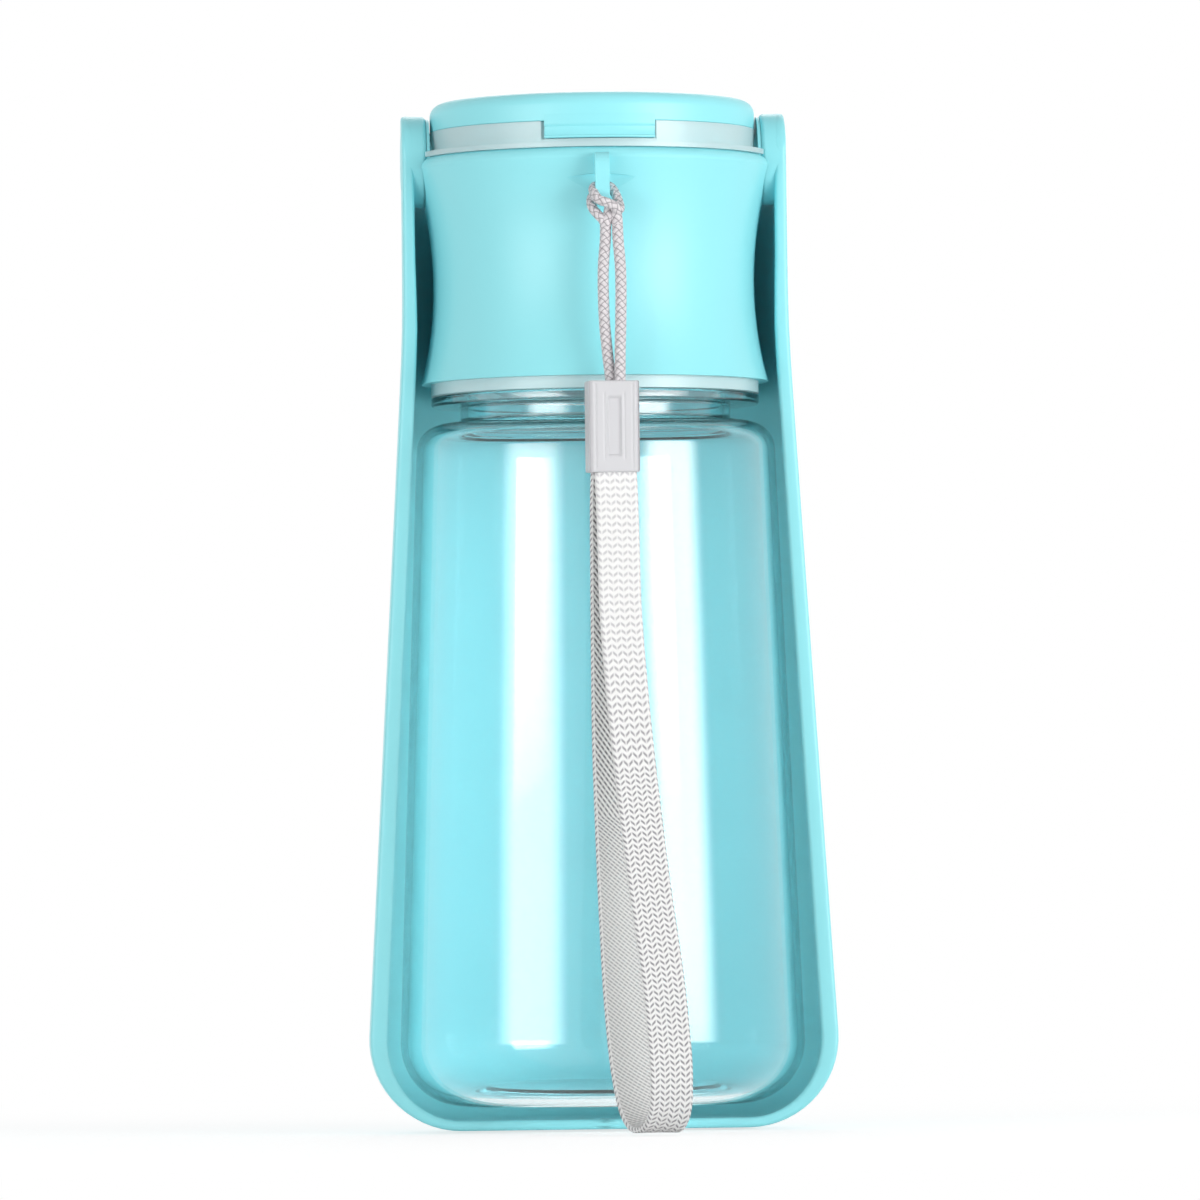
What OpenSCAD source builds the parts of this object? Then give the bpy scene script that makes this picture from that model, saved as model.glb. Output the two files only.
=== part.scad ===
// Dog travel water bottle: a clear bottle that screws into a waisted collar with a
// flip lid, a drinking trough that folds round the bottle, and a wrist strap.
// Millimetres. The origin is on the underside of the trough, below the bottle's axis;
// +Z is up and the front, where the strap hangs, is -Y.

/* [Bottle] */
// Outer radius of the bottle just above its base corner
bottle_base_r = 40.4; // [36:0.1:46]
// Outer radius of the bottle just below its shoulder
bottle_shoulder_r = 35.9; // [33.6:0.1:38]
// Height of the bottle from its base to the top of its shoulder
bottle_body_h = 136.2; // [90:0.2:180]
// Radius of the corner between base and side
bottle_corner_r = 12.5; // [6:0.5:16]
// Radius of the shoulder
bottle_shoulder_corner_r = 5.6; // [3:0.2:7]
// Wall of the bottle
bottle_wall = 1.5; // [1:0.1:2.2]
// Height by which the middle of the base is pushed up
bottle_push_up = 1.4; // [0.5:0.1:3]
// Radius of the pushed-up middle of the base
bottle_push_up_r = 23; // [16:0.5:24]
// Width of the slope from the pushed-up middle down to the foot
bottle_push_up_slope = 2.5; // [1.5:0.1:4]

/* [Bottle neck] */
// Outer radius of the waist between the shoulder and the bead
neck_waist_r = 27; // [25:0.1:27.4]
// Height of that waist
neck_waist_h = 3.4; // [2:0.1:6]
// Radius of the bead under the screw ring
bead_r = 32.8; // [30:0.1:33.4]
// Thickness of the bead
bead_t = 2; // [1.2:0.1:3]
// Outer radius of the threaded neck, without its thread
neck_r = 28; // [27.6:0.1:28.4]
// Height of the threaded neck above the bead
neck_h = 6; // [5.4:0.1:8]
// Lead of the thread, for one turn
thread_lead = 2.5; // [2:0.1:2.7]
// Height of the thread's ridge above the neck
thread_h = 1.2; // [0.8:0.1:1.4]
// Width of the ridge at its crest
thread_crest = 0.6; // [0.4:0.1:0.8]
// Width of the ridge at its foot
thread_foot = 1.2; // [0.9:0.1:1.4]
// Turns of ridge on the neck
neck_thread_turns = 1.1; // [0.8:0.1:1.4]
// Turns of ridge in the insert
insert_thread_turns = 1; // [0.8:0.1:1.2]
// Thickness of the seal on the bottle's mouth
neck_seal_t = 1.2; // [0.8:0.1:2]
// Height of the thread's start above the socket's lower edge
thread_start = 0.9; // [0.7:0.1:1.2]

/* [Collar] */
// Height of the collar
collar_h = 45; // [36:0.5:60]
// Outer radius at the collar's waist
collar_waist_r = 32.1; // [31.6:0.1:34]
// Height of the waist above the collar's lower edge
collar_waist_h = 19.6; // [14:0.2:26]
// Radius of the hollow curve of the collar's side
collar_curve_r = 74; // [60:1:110]
// Wall of the collar
collar_wall = 1.8; // [1.2:0.1:2]
// Thickness of the deck that closes the collar's top
deck_t = 1.8; // [1.2:0.1:3]
// Rounding of the collar's upper edge
collar_round = 2.2; // [1:0.1:3]
// Wall round the seats of the trough's ears
seat_wall = 1.5; // [1:0.1:2]

/* [Mouth ring and neck insert] */
// Radius of the thin flange on the collar
flange_r = 35.1; // [33.4:0.1:35.4]
// Thickness of the flange
flange_t = 1; // [0.6:0.1:1.6]
// Outer radius of the mouth ring
mouth_r = 32.6; // [31.8:0.1:32.7]
// Inner radius of the mouth
mouth_bore_r = 27; // [25.4:0.1:27.4]
// Height of the mouth ring above the collar
mouth_h = 5.3; // [4.6:0.1:8]
// Height of the insert's ring that shows below the collar
skirt_h = 2.4; // [1.6:0.1:5]
// Outer radius of that ring
skirt_r = 32.8; // [32:0.1:33.4]
// Bore of the insert's tube
tube_bore_r = 26; // [24:0.1:26.4]
// Wall of the insert's tube
tube_wall = 1.8; // [1.2:0.1:2]
// Wall of the insert's threaded socket
socket_wall = 1.5; // [1:0.1:1.5]
// Thickness of the step between the socket and the tube
socket_top_t = 1.8; // [1.2:0.1:2.4]
// Height of the tube's end above the collar's top
tube_rise = 1.4; // [1.1:0.1:1.8]
// Thickness of the seal on the tube's end
tube_seal_t = 1.1; // [0.8:0.1:1.4]

/* [Pivot] */
// Height of the pivot's axis below the collar's top
pivot_drop = 0.4; // [0:0.1:2]
// Radius of the trough's ears
ear_r = 9.2; // [8.4:0.1:10]
// Distance of the collar's pivot seat from the middle plane
seat_x = 32.8; // [32.8:0.1:33.2]
// Radius of the pivot pin's shaft
pin_r = 2.5; // [2:0.1:3]
// Radius of the pin's head
pin_head_r = 5.6; // [4.5:0.1:6.5]
// Thickness of the pin's head
pin_head_t = 1.1; // [0.8:0.1:1.3]
// Thickness of the friction washer
washer_t = 0.6; // [0.4:0.1:0.8]
// Radius of the lug that holds the pin
lug_r = 5; // [4.2:0.1:5]
// Length of that lug behind the seat
lug_l = 1.9; // [1.4:0.1:2]

/* [Trough] */
// Wall of the trough
trough_wall = 2; // [1.6:0.1:2.4]
// Thickness of the trough's floor
trough_floor_t = 2; // [1.6:0.1:3]
// Extra width of the rim's bead beyond the wall, at the foot
rim_bead = 1.5; // [0.6:0.1:1.8]
// Depth of the rim's bead from front to back
rim_depth = 3; // [2:0.1:5]
// Distance of the rim in front of the bottle's axis
rim_y = 9; // [6:0.5:14]
// Radius of the trough's outer corners
trough_corner_r = 18; // [14:0.5:22]
// Height of the bend where the side walls start to spread
trough_bend_z = 160; // [150:1:170]
// Drop of the back wall's upper edge below the pivot's axis
back_drop = 6.6; // [5:0.2:14]
// Height over which the rim's bead fades out above the bend
rim_fade_h = 14; // [8:1:20]

/* [Lid] */
// Radius of the lid
lid_r = 32.5; // [31.8:0.1:33]
// Height of the lid
lid_h = 5.8; // [4.4:0.1:8]
// Wall of the lid
lid_wall = 1.6; // [1.2:0.1:2.2]
// Rounding of the lid's upper edge
lid_round = 1.8; // [0.8:0.1:2.4]
// Width of the front tab
tab_w = 22; // [14:0.5:28]
// Thickness of the front tab
tab_t = 1.6; // [1.2:0.1:2.2]
// Height of the tab above the lid's lower edge
tab_rise = 1; // [0.6:0.1:2]
// Length of the tab below the lid's lower edge
tab_drop = 3.4; // [2:0.1:3.8]
// Width of the slit at the tab's left end
tab_slit = 0.6; // [0.3:0.1:1]
// Radius of the lid's hinge barrel
barrel_r = 1.9; // [1.6:0.1:2]
// Radius of the hinge pin
hinge_pin_r = 0.9; // [0.7:0.1:1]
// Length of the hinge pin
hinge_pin_l = 20; // [16:0.5:26]
// Width of the lid's own knuckle
knuckle_w = 9; // [6:0.5:11]
// Distance of the hinge's axis behind the lid's edge
hinge_out = 1.3; // [1.1:0.1:1.6]
// Distance of the hinge's axis below the lid's lower edge
hinge_drop = 0.8; // [0.6:0.1:1]

/* [Wrist strap] */
// Width of the eyelet's bar
eyelet_w = 2.8; // [2:0.1:3.6]
// Thickness of the eyelet's bar
eyelet_bar = 2.3; // [1.8:0.1:2.6]
// Height of the eyelet's gap
eyelet_gap_h = 5.6; // [4.6:0.1:6.4]
// Depth of the gap between the collar and the eyelet's bar
eyelet_gap_d = 3.5; // [3.2:0.1:3.9]
// Distance of the gap in front of the collar's waist
eyelet_stand = 1.9; // [1.6:0.1:2.4]
// Drop of the eyelet's upper edge below the collar's top
eyelet_drop = 1.4; // [1:0.1:3]
// Thickness of the eyelet above its gap
eyelet_top_t = 2.4; // [1.2:0.1:3]
// Drop of the scoop behind the eyelet below the collar's top
scoop_drop = 5.4; // [4:0.1:7]
// Radius of the arch over that scoop
scoop_arch_r = 40; // [20:1:80]
// Diameter of the cord
cord_d = 2.2; // [1.8:0.1:2.4]
// Width of the clip
clip_w = 10.1; // [9.4:0.1:13]
// Height of the clip
clip_h = 18; // [14:0.5:18]
// Thickness of the closed clip
clip_t = 5; // [3.6:0.1:5]
// Turn of the clip about its upright axis, as it hangs
clip_turn = 8; // [0:1:12]
// Width of the webbing
webbing_w = 8.4; // [8:0.1:10]
// Thickness of the webbing
webbing_t = 1.2; // [0.8:0.1:1.2]
// Width of the recess in the clip's front
clip_recess_w = 2.8; // [2.4:0.1:5]
// Height of that recess
clip_recess_h = 11.4; // [8:0.1:12]
// Depth of that recess
clip_recess_t = 0.5; // [0.3:0.1:0.8]
// Depth of the hollow in each half of the clip
clip_hollow_t = 1.6; // [1:0.1:1.6]
// Wall at the sides of that hollow
clip_wall = 1.6; // [1.2:0.1:2]

/* [Hidden] */
$fn = 96;
// A small overlap that keeps cuts clean, and a length beyond every piece
tiny = 0.01;
far = 400;

aqua = [0.49, 0.88, 0.91];
clear = [0.80, 0.93, 0.95, 0.45];
frosted = [0.66, 0.82, 0.82];
silicone = [0.92, 0.93, 0.92];
light_grey = [0.83, 0.82, 0.85];
steel = [0.75, 0.75, 0.77];

// Named clearances
base_gap = 2.8;         // bottle's base above the trough's floor
seat_gap = 0.2;         // bead below the insert
run_gap = 0.05;         // radial play of a turning pin
slip_gap = 0.1;         // radial play of a fixed piece in its seat
ear_gap = 0.4;          // round the ears in the collar's seats
boss_step = 0.2;        // between the ear's edge and the boss behind it
knuckle_gap = 0.3;      // between the hinge's knuckles
tube_gap = 0.3;         // round the insert's tube in the collar's deck
thread_gap = 0.5;       // between a thread's crest and the other piece
arm_gap = 0.5;          // between the collar's flare and the arms
trough_side_gap = 4.3;  // between the bottle's widest ring and the trough

// Heights from the ground up
bottle_z = trough_floor_t + base_gap;
shoulder_z = bottle_z + bottle_body_h;
bead_z = shoulder_z + neck_waist_h;
neck_z = bead_z + bead_t;
mouth_seal_z = neck_z + neck_h;
insert_z = neck_z + seat_gap;
socket_z = mouth_seal_z + neck_seal_t;
collar_z = insert_z + skirt_h;
collar_top_z = collar_z + collar_h;
waist_z = collar_z + collar_waist_h;
pivot_z = collar_top_z - pivot_drop;
mouth_top_z = collar_top_z + mouth_h;
lid_top_z = mouth_top_z + lid_h;
back_z = pivot_z - back_drop;

// Radii that follow from the fits
tube_r = tube_bore_r + tube_wall;
socket_bore_r = neck_r + thread_h + thread_gap;
socket_r = socket_bore_r + socket_wall;
flare_h = collar_top_z - collar_round - waist_z;
flare_rise = collar_curve_r - sqrt(pow(collar_curve_r, 2) - pow(flare_h, 2));
flare_r = collar_waist_r + flare_rise;
seat_r = ear_r + ear_gap;
boss_r = ear_r - boss_step;
boss_x = seat_x + washer_t + run_gap;
lug_x = seat_x - lug_l;
tab_in = lid_r + slip_gap - tab_t;

// The trough's outline
arm_in = flare_r + arm_gap;
arm_out = arm_in + trough_wall;
foot_z = bottle_z + bottle_corner_r;
foot_out = bottle_base_r + trough_side_gap + trough_wall;
side_slope = (foot_out - arm_out) / (trough_bend_z - foot_z);
side_lean = atan(side_slope);
back_extra = 0.15;
arc_step = 6;

// The collar's upper rounding starts this many degrees below its widest point
round_start = 25;

// The lid's hinge
hinge_y = lid_r + hinge_out;
hinge_z = mouth_top_z - hinge_drop;

// The eyelet and the tube's seal
eyelet_y = -collar_waist_r - eyelet_stand;
eyelet_bar_y = eyelet_y - eyelet_gap_d - eyelet_bar;
eyelet_top_z = collar_top_z - eyelet_drop;
eyelet_foot_z = eyelet_top_z - eyelet_top_t - eyelet_gap_h - eyelet_bar;
tube_top_z = collar_top_z + tube_rise;

// Points of an arc, with the angles in degrees
function arc(cx, cy, r, a0, a1, n = 8) =
    [for (i = [0:n]) [cx + r * cos(a0 + (a1 - a0) * i / n), cy + r * sin(a0 + (a1 - a0) * i / n)]];

// Half-width of the trough's outer side at height z, inset by t
function side_x(z, t) = (z > trough_bend_z ? arm_out : arm_out + side_slope * (trough_bend_z - z)) - t;

// Right-hand edge of the trough's outline from the floor up, inset by t at the sides
function trough_edge(t, floor_z, top_z, corner_r) =
    let (zc = floor_z + corner_r)
    let (xc = side_x(zc, t) - corner_r / cos(side_lean))
    concat(
        arc(xc, zc, corner_r, -90, side_lean, round(96 / arc_step)),
        [[arm_out - t, trough_bend_z], [arm_out - t, top_z]]
    );

function mirrored(p) = [for (i = [len(p) - 1:-1:0]) [-p[i][0], p[i][1]]];

// Extrude a drawing in X and Z along Y, from y0 to y1
module along_y(y0, y1) {
    translate([0, y1, 0])
        rotate([90, 0, 0])
            linear_extrude(y1 - y0)
                children();
}

// Extrude a drawing in Y and Z along X, from x0 to x1
module along_x(x0, x1) {
    translate([x0, 0, 0])
        rotate([90, 0, 90])
            linear_extrude(x1 - x0)
                children();
}

// A round bar along X at height z, from x0 to x1
module bar_x(r, x0, x1, y, z) {
    translate([x0, y, z])
        rotate([0, 90, 0])
            cylinder(r = r, h = x1 - x0);
}

// A ring between two radii
module ring(r_in, r_out, z0, z1) {
    difference() {
        translate([0, 0, z0])
            cylinder(r = r_out, h = z1 - z0);
        translate([0, 0, z0 - 1])
            cylinder(r = r_in, h = z1 - z0 + 2);
    }
}

// Both sides of a thing that stands on the right
module both_sides() {
    children();
    mirror([1, 0, 0])
        children();
}

// Cross-section of a thread's ridge: foot on radius r, crest at r + h, h negative inside
function ridge(r, h, k) =
    let (sink = h > 0 ? -0.4 : 0.4)
    let (top = h * max(k, 0.25))
    [[r + sink, -thread_foot / 2], [r + top, -thread_crest / 2], [r + top, thread_crest / 2],
     [r + sink, thread_foot / 2]];

// A helical ridge that rises by the lead for each turn and fades out at both ends
module thread(r, h, z0, turns, turn0) {
    n = round(turns * 36);
    pts = [for (i = [0:n]) let (a = turn0 + i * 10)
        for (p = ridge(r, h, min(1, i / 3, (n - i) / 3)))
            [p[0] * cos(a), p[0] * sin(a), z0 + p[1] + thread_lead * i / 36]];
    sides = [for (i = [0:n - 1]) for (j = [0:3])
        let (a = 4 * i + j, b = 4 * i + (j + 1) % 4)
        for (f = [[a, b, a + 4], [b, b + 4, a + 4]]) h > 0 ? f : [f[2], f[1], f[0]]];
    ends = [[3, 2, 1], [3, 1, 0], [4 * n, 4 * n + 1, 4 * n + 2], [4 * n, 4 * n + 2, 4 * n + 3]];
    polyhedron(points = pts, faces = concat(sides, [for (f = ends) h > 0 ? f : [f[2], f[1], f[0]]]));
}

// Turn a revolved form so that its seam stays clear of the pivots and the eyelet
module off_seam() {
    rotate([0, 0, 45])
        children();
}

// ---------------------------------------------------------------- trough

// The trough's outline from the front, inset by t at the sides
module trough_outline(t, floor_z, corner_r) {
    edge = trough_edge(t, floor_z, pivot_z + ear_r + 5, corner_r);
    polygon(concat(edge, mirrored(edge)));
}

// The same outline turned about the bottle's axis
module trough_turned(t, floor_z, corner_r) {
    edge = trough_edge(t - back_extra, floor_z, pivot_z + ear_r + 5, corner_r);
    rotate_extrude()
        polygon(concat([[0, floor_z]], edge, [[0, pivot_z + ear_r + 5]]));
}

// A form that is flat-sided in front of the axis and round behind it
module trough_form(t, floor_z, corner_r, front_y) {
    intersection() {
        along_y(-front_y, foot_out + 10)
            trough_outline(t, floor_z, corner_r);
        union() {
            trough_turned(t, floor_z, corner_r);
            translate([-far / 2, -far / 2, 0])
                cube([far, far / 2, far]);
        }
    }
}

// The trough from the side: a straight rim, round ears and a lower back edge
module trough_side() {
    translate([0, pivot_z])
        circle(r = ear_r);
    polygon([[-rim_y, -1], [foot_out + 10, -1], [foot_out + 10, back_z], [ear_r + 9, back_z],
        [ear_r + 3, back_z + 1.6], [ear_r - 1, pivot_z - 2], [-rim_y, pivot_z - 1]]);
}

module trough() {
    color(aqua)
        difference() {
            union() {
                intersection() {
                    difference() {
                        trough_form(0, 0, trough_corner_r, ear_r + 1);
                        trough_form(trough_wall, trough_floor_t, trough_corner_r - trough_wall,
                            rim_y - rim_depth);
                        along_y(-far / 2, -rim_y + rim_depth + tiny)
                            rim_opening();
                    }
                    along_x(-far / 2, far / 2)
                        trough_side();
                }
                both_sides()
                    bar_x(boss_r, boss_x, arm_in + 0.5, 0, pivot_z);
            }
            both_sides() {
                bar_x(pin_r + run_gap, 0, far / 2, 0, pivot_z);
                bar_x(pin_head_r + ear_gap, arm_out - pin_head_t - slip_gap, far / 2, 0, pivot_z);
            }
        }
}

// The opening inside the rim's bead, which widens towards the foot
module rim_opening() {
    bead = trough_wall + rim_bead;
    xc = side_x(foot_z, bead) - trough_corner_r + bead;
    edge = concat(
        arc(xc, trough_floor_t + trough_corner_r - bead, trough_corner_r - bead, -90, side_lean, 14),
        [[arm_in - rim_bead / 3, trough_bend_z], [arm_in, trough_bend_z + rim_fade_h],
            [arm_in, pivot_z + ear_r + 5]]
    );
    polygon(concat(edge, mirrored(edge)));
}

// ---------------------------------------------------------------- pivots

module pivot_pin() {
    color(aqua) {
        bar_x(pin_r, lug_x, arm_out - pin_head_t, 0, pivot_z);
        bar_x(pin_head_r, arm_out - pin_head_t, arm_out, 0, pivot_z);
    }
}

module pivot_pin_right() {
    pivot_pin();
}

module pivot_pin_left() {
    mirror([1, 0, 0])
        pivot_pin();
}

module friction_washer() {
    color(silicone)
        difference() {
            bar_x(boss_r - 0.5, seat_x, seat_x + washer_t, 0, pivot_z);
            bar_x(pin_r + slip_gap, seat_x - 1, seat_x + washer_t + 1, 0, pivot_z);
        }
}

module friction_washer_right() {
    friction_washer();
}

module friction_washer_left() {
    mirror([1, 0, 0])
        friction_washer();
}

// ---------------------------------------------------------------- collar

// The waisted side of the collar, as the space inside a curve of radius r
module collar_curve(r) {
    translate([collar_waist_r + collar_curve_r, waist_z])
        circle(r = r, $fn = 180);
}

// The collar filled in, for cutting other forms to its outside
module collar_solid() {
    off_seam() rotate_extrude()
        difference() {
            polygon(concat([[0, collar_z], [far / 8, collar_z],
                [far / 8, collar_top_z - collar_round * (1 + sin(round_start))]],
                arc(flare_r - collar_round, collar_top_z - collar_round, collar_round, -round_start, 90, 9),
                [[0, collar_top_z]]));
            collar_curve(collar_curve_r);
        }
}

// The eyelet from the side: a bar that stands off the collar round a gap
module eyelet() {
    foot_round = 1.1;
    top_round = 2.6;
    back_y = eyelet_y + collar_wall + 0.6;
    along_x(-eyelet_w / 2, eyelet_w / 2)
        difference() {
            polygon(concat([[back_y, eyelet_foot_z], [eyelet_bar_y + foot_round, eyelet_foot_z]],
                arc(eyelet_bar_y + foot_round, eyelet_foot_z + foot_round, foot_round, -90, -180, 5),
                arc(eyelet_bar_y + top_round, eyelet_top_z - top_round, top_round, 180, 90, 6),
                [[back_y, eyelet_top_z]]));
            translate([eyelet_y - eyelet_gap_d, eyelet_foot_z + eyelet_bar])
                square([eyelet_gap_d, eyelet_gap_h]);
        }
}

// The scoop behind the eyelet: a flat floor under an arched ledge, which gives the cord room
module eyelet_scoop() {
    intersection() {
        along_y(-far / 4, eyelet_y)
            translate([0, collar_top_z - scoop_drop - scoop_arch_r])
                circle(r = scoop_arch_r);
        translate([-far / 8, -far / 4, eyelet_foot_z - eyelet_bar])
            cube(far / 4);
    }
}

module collar() {
    color(aqua)
        difference() {
            union() {
                difference() {
                    collar_solid();
                    off_seam() rotate_extrude()
                        difference() {
                            translate([0, collar_z - 1])
                                square([far / 8, collar_top_z - deck_t - collar_z + 1]);
                            collar_curve(collar_curve_r + collar_wall);
                        }
                    cylinder(r = tube_r + tube_gap, h = far);
                    eyelet_scoop();
                }
                intersection() {
                    collar_solid();
                    both_sides()
                        bar_x(seat_r + seat_wall, seat_x - collar_wall, far / 8, 0, pivot_z);
                }
                both_sides()
                    bar_x(lug_r, lug_x, seat_x + 1, 0, pivot_z);
                eyelet();
            }
            both_sides() {
                bar_x(seat_r, seat_x, far / 4, 0, pivot_z);
                bar_x(pin_r, 0, far / 4, 0, pivot_z);
            }
        }
}

// ---------------------------------------------------------------- mouth

module mouth_ring() {
    color(frosted)
        difference() {
            union() {
                ring(mouth_bore_r, flange_r, collar_top_z, collar_top_z + flange_t);
                ring(mouth_bore_r, mouth_r, collar_top_z, mouth_top_z);
                for (side = [-1, 1])
                    hinge_lug(side);
            }
            translate([0, 0, collar_top_z - 1])
                cylinder(r = tube_r + slip_gap, h = 1 + tube_rise + tube_seal_t);
            both_sides() {
                bar_x(seat_r, seat_x, far / 4, 0, pivot_z);
                bar_x(lug_r + slip_gap, lug_x - 2 * slip_gap, far / 4, 0, pivot_z);
            }
            bar_x(hinge_pin_r, -far / 4, far / 4, hinge_y, hinge_z);
            bar_x(barrel_r + knuckle_gap, -knuckle_w / 2 - knuckle_gap, knuckle_w / 2 + knuckle_gap,
                hinge_y, hinge_z);
            tab_pocket();
        }
}

// The pocket that takes the lid's tab, with a slit at the tab's left end
module tab_pocket() {
    intersection() {
        ring(tab_in - slip_gap - run_gap, flange_r + 1,
            mouth_top_z - tab_drop - 2 * slip_gap, mouth_top_z + 1);
        translate([-tab_w / 2 - tab_slit, -far / 2, 0])
            cube([tab_w + tab_slit + 2 * slip_gap, far / 2, far]);
    }
}

// One of the two lugs that hold the lid's hinge pin
module hinge_lug(side) {
    x0 = side > 0 ? knuckle_w / 2 + knuckle_gap : -hinge_pin_l / 2;
    x1 = side > 0 ? hinge_pin_l / 2 : -knuckle_w / 2 - knuckle_gap;
    along_x(x0, x1)
        translate([mouth_r - 2, hinge_z - barrel_r])
            square([hinge_y - mouth_r + 2, barrel_r + hinge_drop - slip_gap]);
    bar_x(barrel_r, x0, x1, hinge_y, hinge_z);
}

module neck_insert() {
    color(frosted)
        union() {
            ring(socket_bore_r, skirt_r, insert_z, collar_z);
            ring(socket_bore_r, socket_r, insert_z, socket_z + socket_top_t);
            ring(tube_bore_r, socket_r, socket_z, socket_z + socket_top_t);
            ring(tube_bore_r, tube_r, socket_z, tube_top_z);
            thread(socket_bore_r, -thread_h, insert_z + thread_start, insert_thread_turns, 40);
        }
}

module tube_seal() {
    color(silicone)
        ring(tube_bore_r + 2 * slip_gap, tube_r, tube_top_z, tube_top_z + tube_seal_t);
}

module neck_seal() {
    color(silicone)
        ring(tube_bore_r, neck_r, mouth_seal_z, socket_z);
}

// ---------------------------------------------------------------- bottle

// The bottle's side from base to shoulder, inset by t
function bottle_edge(t) =
    let (side_h = bottle_body_h - bottle_corner_r - bottle_shoulder_corner_r)
    let (lean = atan((bottle_base_r - bottle_shoulder_r) / side_h))
    let (rb = bottle_corner_r - t, rs = bottle_shoulder_corner_r - t)
    concat(
        arc(bottle_base_r - bottle_corner_r, bottle_z + bottle_corner_r, rb, -90, lean, 12),
        arc(bottle_shoulder_r - bottle_shoulder_corner_r, shoulder_z - bottle_shoulder_corner_r,
            rs, lean, 90, 8)
    );

// The bottle's profile up to its shoulder, inset by t
function bottle_profile(t) =
    concat(
        [[0, bottle_z + bottle_push_up + t], [bottle_push_up_r, bottle_z + bottle_push_up + t],
            [bottle_push_up_r + bottle_push_up_slope, bottle_z + t]],
        bottle_edge(t),
        [[neck_waist_r - t, shoulder_z - t]]
    );

module bottle() {
    color(clear)
        union() {
            difference() {
                rotate_extrude()
                    polygon(concat(bottle_profile(0), [[neck_waist_r, bead_z], [bead_r, bead_z],
                        [bead_r, neck_z], [neck_r, neck_z], [neck_r, mouth_seal_z], [0, mouth_seal_z]]));
                rotate_extrude()
                    polygon(concat(bottle_profile(bottle_wall),
                        [[neck_waist_r - bottle_wall, mouth_seal_z + 1], [0, mouth_seal_z + 1]]));
            }
            thread(neck_r, thread_h, insert_z + thread_start + thread_lead / 2, neck_thread_turns, 40);
        }
}

// ---------------------------------------------------------------- lid

module lid() {
    color(aqua)
        difference() {
            union() {
                rotate_extrude()
                    polygon(concat([[0, mouth_top_z], [lid_r, mouth_top_z]],
                        arc(lid_r - lid_round, lid_top_z - lid_round, lid_round, 0, 90, 6),
                        [[0, lid_top_z]]));
                lid_tab();
                lid_knuckle();
            }
            translate([0, 0, mouth_top_z - tiny])
                cylinder(r = lid_r - lid_wall, h = lid_h - lid_wall);
            both_sides()
                bar_x(barrel_r + knuckle_gap, knuckle_w / 2, far / 4, hinge_y, hinge_z);
            bar_x(hinge_pin_r + run_gap, -far / 4, far / 4, hinge_y, hinge_z);
        }
}

// The tab that hangs from the lid's edge, flush with the mouth ring
module lid_tab() {
    intersection() {
        ring(tab_in, tab_in + tab_t, mouth_top_z - tab_drop, mouth_top_z + tab_rise);
        translate([-tab_w / 2, -far / 2, 0])
            cube([tab_w, far / 2, far]);
    }
}

// The knuckle that turns on the hinge pin
module lid_knuckle() {
    bar_x(barrel_r, -knuckle_w / 2, knuckle_w / 2, hinge_y, hinge_z);
    along_x(-knuckle_w / 2, knuckle_w / 2)
        polygon([[lid_r - 1, mouth_top_z + 0.1], [hinge_y + 0.6, mouth_top_z + 0.1],
            [hinge_y + 1, hinge_z + 1.4], [hinge_y + 0.4, mouth_top_z + 1.8],
            [lid_r - 1, mouth_top_z + 2.4]]);
}

module lid_seal() {
    top_z = mouth_top_z + lid_h - lid_wall - run_gap;
    plug_h = 2.4;
    color(silicone)
        union() {
            ring(mouth_bore_r - 1.8, mouth_bore_r - 2 * slip_gap, mouth_top_z - plug_h, top_z);
            ring(mouth_bore_r - 1.8, lid_r - lid_wall - slip_gap, mouth_top_z + run_gap, mouth_top_z + 1.6);
        }
}

module lid_hinge_pin() {
    color(steel)
        bar_x(hinge_pin_r, -hinge_pin_l / 2, hinge_pin_l / 2, hinge_y, hinge_z);
}

// ---------------------------------------------------------------- strap
strap_x = 1.3;
clip_y = -40;
clip_top_z = 147.4;
clip_foot_z = clip_top_z - clip_h;
clip_recess_z = clip_foot_z + (clip_h - clip_recess_h) / 2;

// Route of the webbing's middle line: down the front, round, and up the back
webbing_route = [
    [1.8, -40.8, 129.4], [2.0, -41.4, 124], [2.1, -43.4, 114], [2.2, -46.2, 102], [3.1, -49.6, 86],
    [4.6, -53.2, 68], [6.7, -56.0, 48], [9.0, -57.4, 30], [10.2, -57.4, 16], [10.4, -56.9, 9],
    [10.1, -55.4, 4.4], [9.1, -52.8, 1.6], [7.8, -49.8, 0.8], [6.3, -46.8, 1.6], [5.0, -44.4, 4.4],
    [4.0, -42.9, 9], [3.1, -42.2, 16], [2.2, -41.8, 28], [1.6, -41.6, 42], [1.1, -41.2, 58],
    [0.7, -40.8, 76], [0.7, -40.2, 94], [0.8, -39.6, 110], [0.9, -39.2, 122], [1.1, -39.2, 129.4]
];
// Routes of the cord's two strands, from the hitch to the clip
cord_left_route = [
    [0.5, -39.0, 178.2], [0.4, -39.2, 175], [-0.1, -39.5, 168.6], [0, -39.5, 160],
    [0.5, -39.4, 153.6], [1.2, -39.3, 147.4]
];
cord_right_route = [
    [2.8, -39.6, 178.2], [2.9, -39.9, 175], [3.3, -40.3, 168.6], [3.2, -40.6, 159.6],
    [3.0, -40.8, 153.6], [2.9, -40.9, 147.4]
];

function unit(v) = v / norm(v);
// Direction of a route at its point i
function heading(p, i) = unit(p[min(i + 1, len(p) - 1)] - p[max(i - 1, 0)]);
// Sideways direction at right angles to the heading, as near to w as can be
function across(t, w) = unit(w - (w * t) * t);

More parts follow.
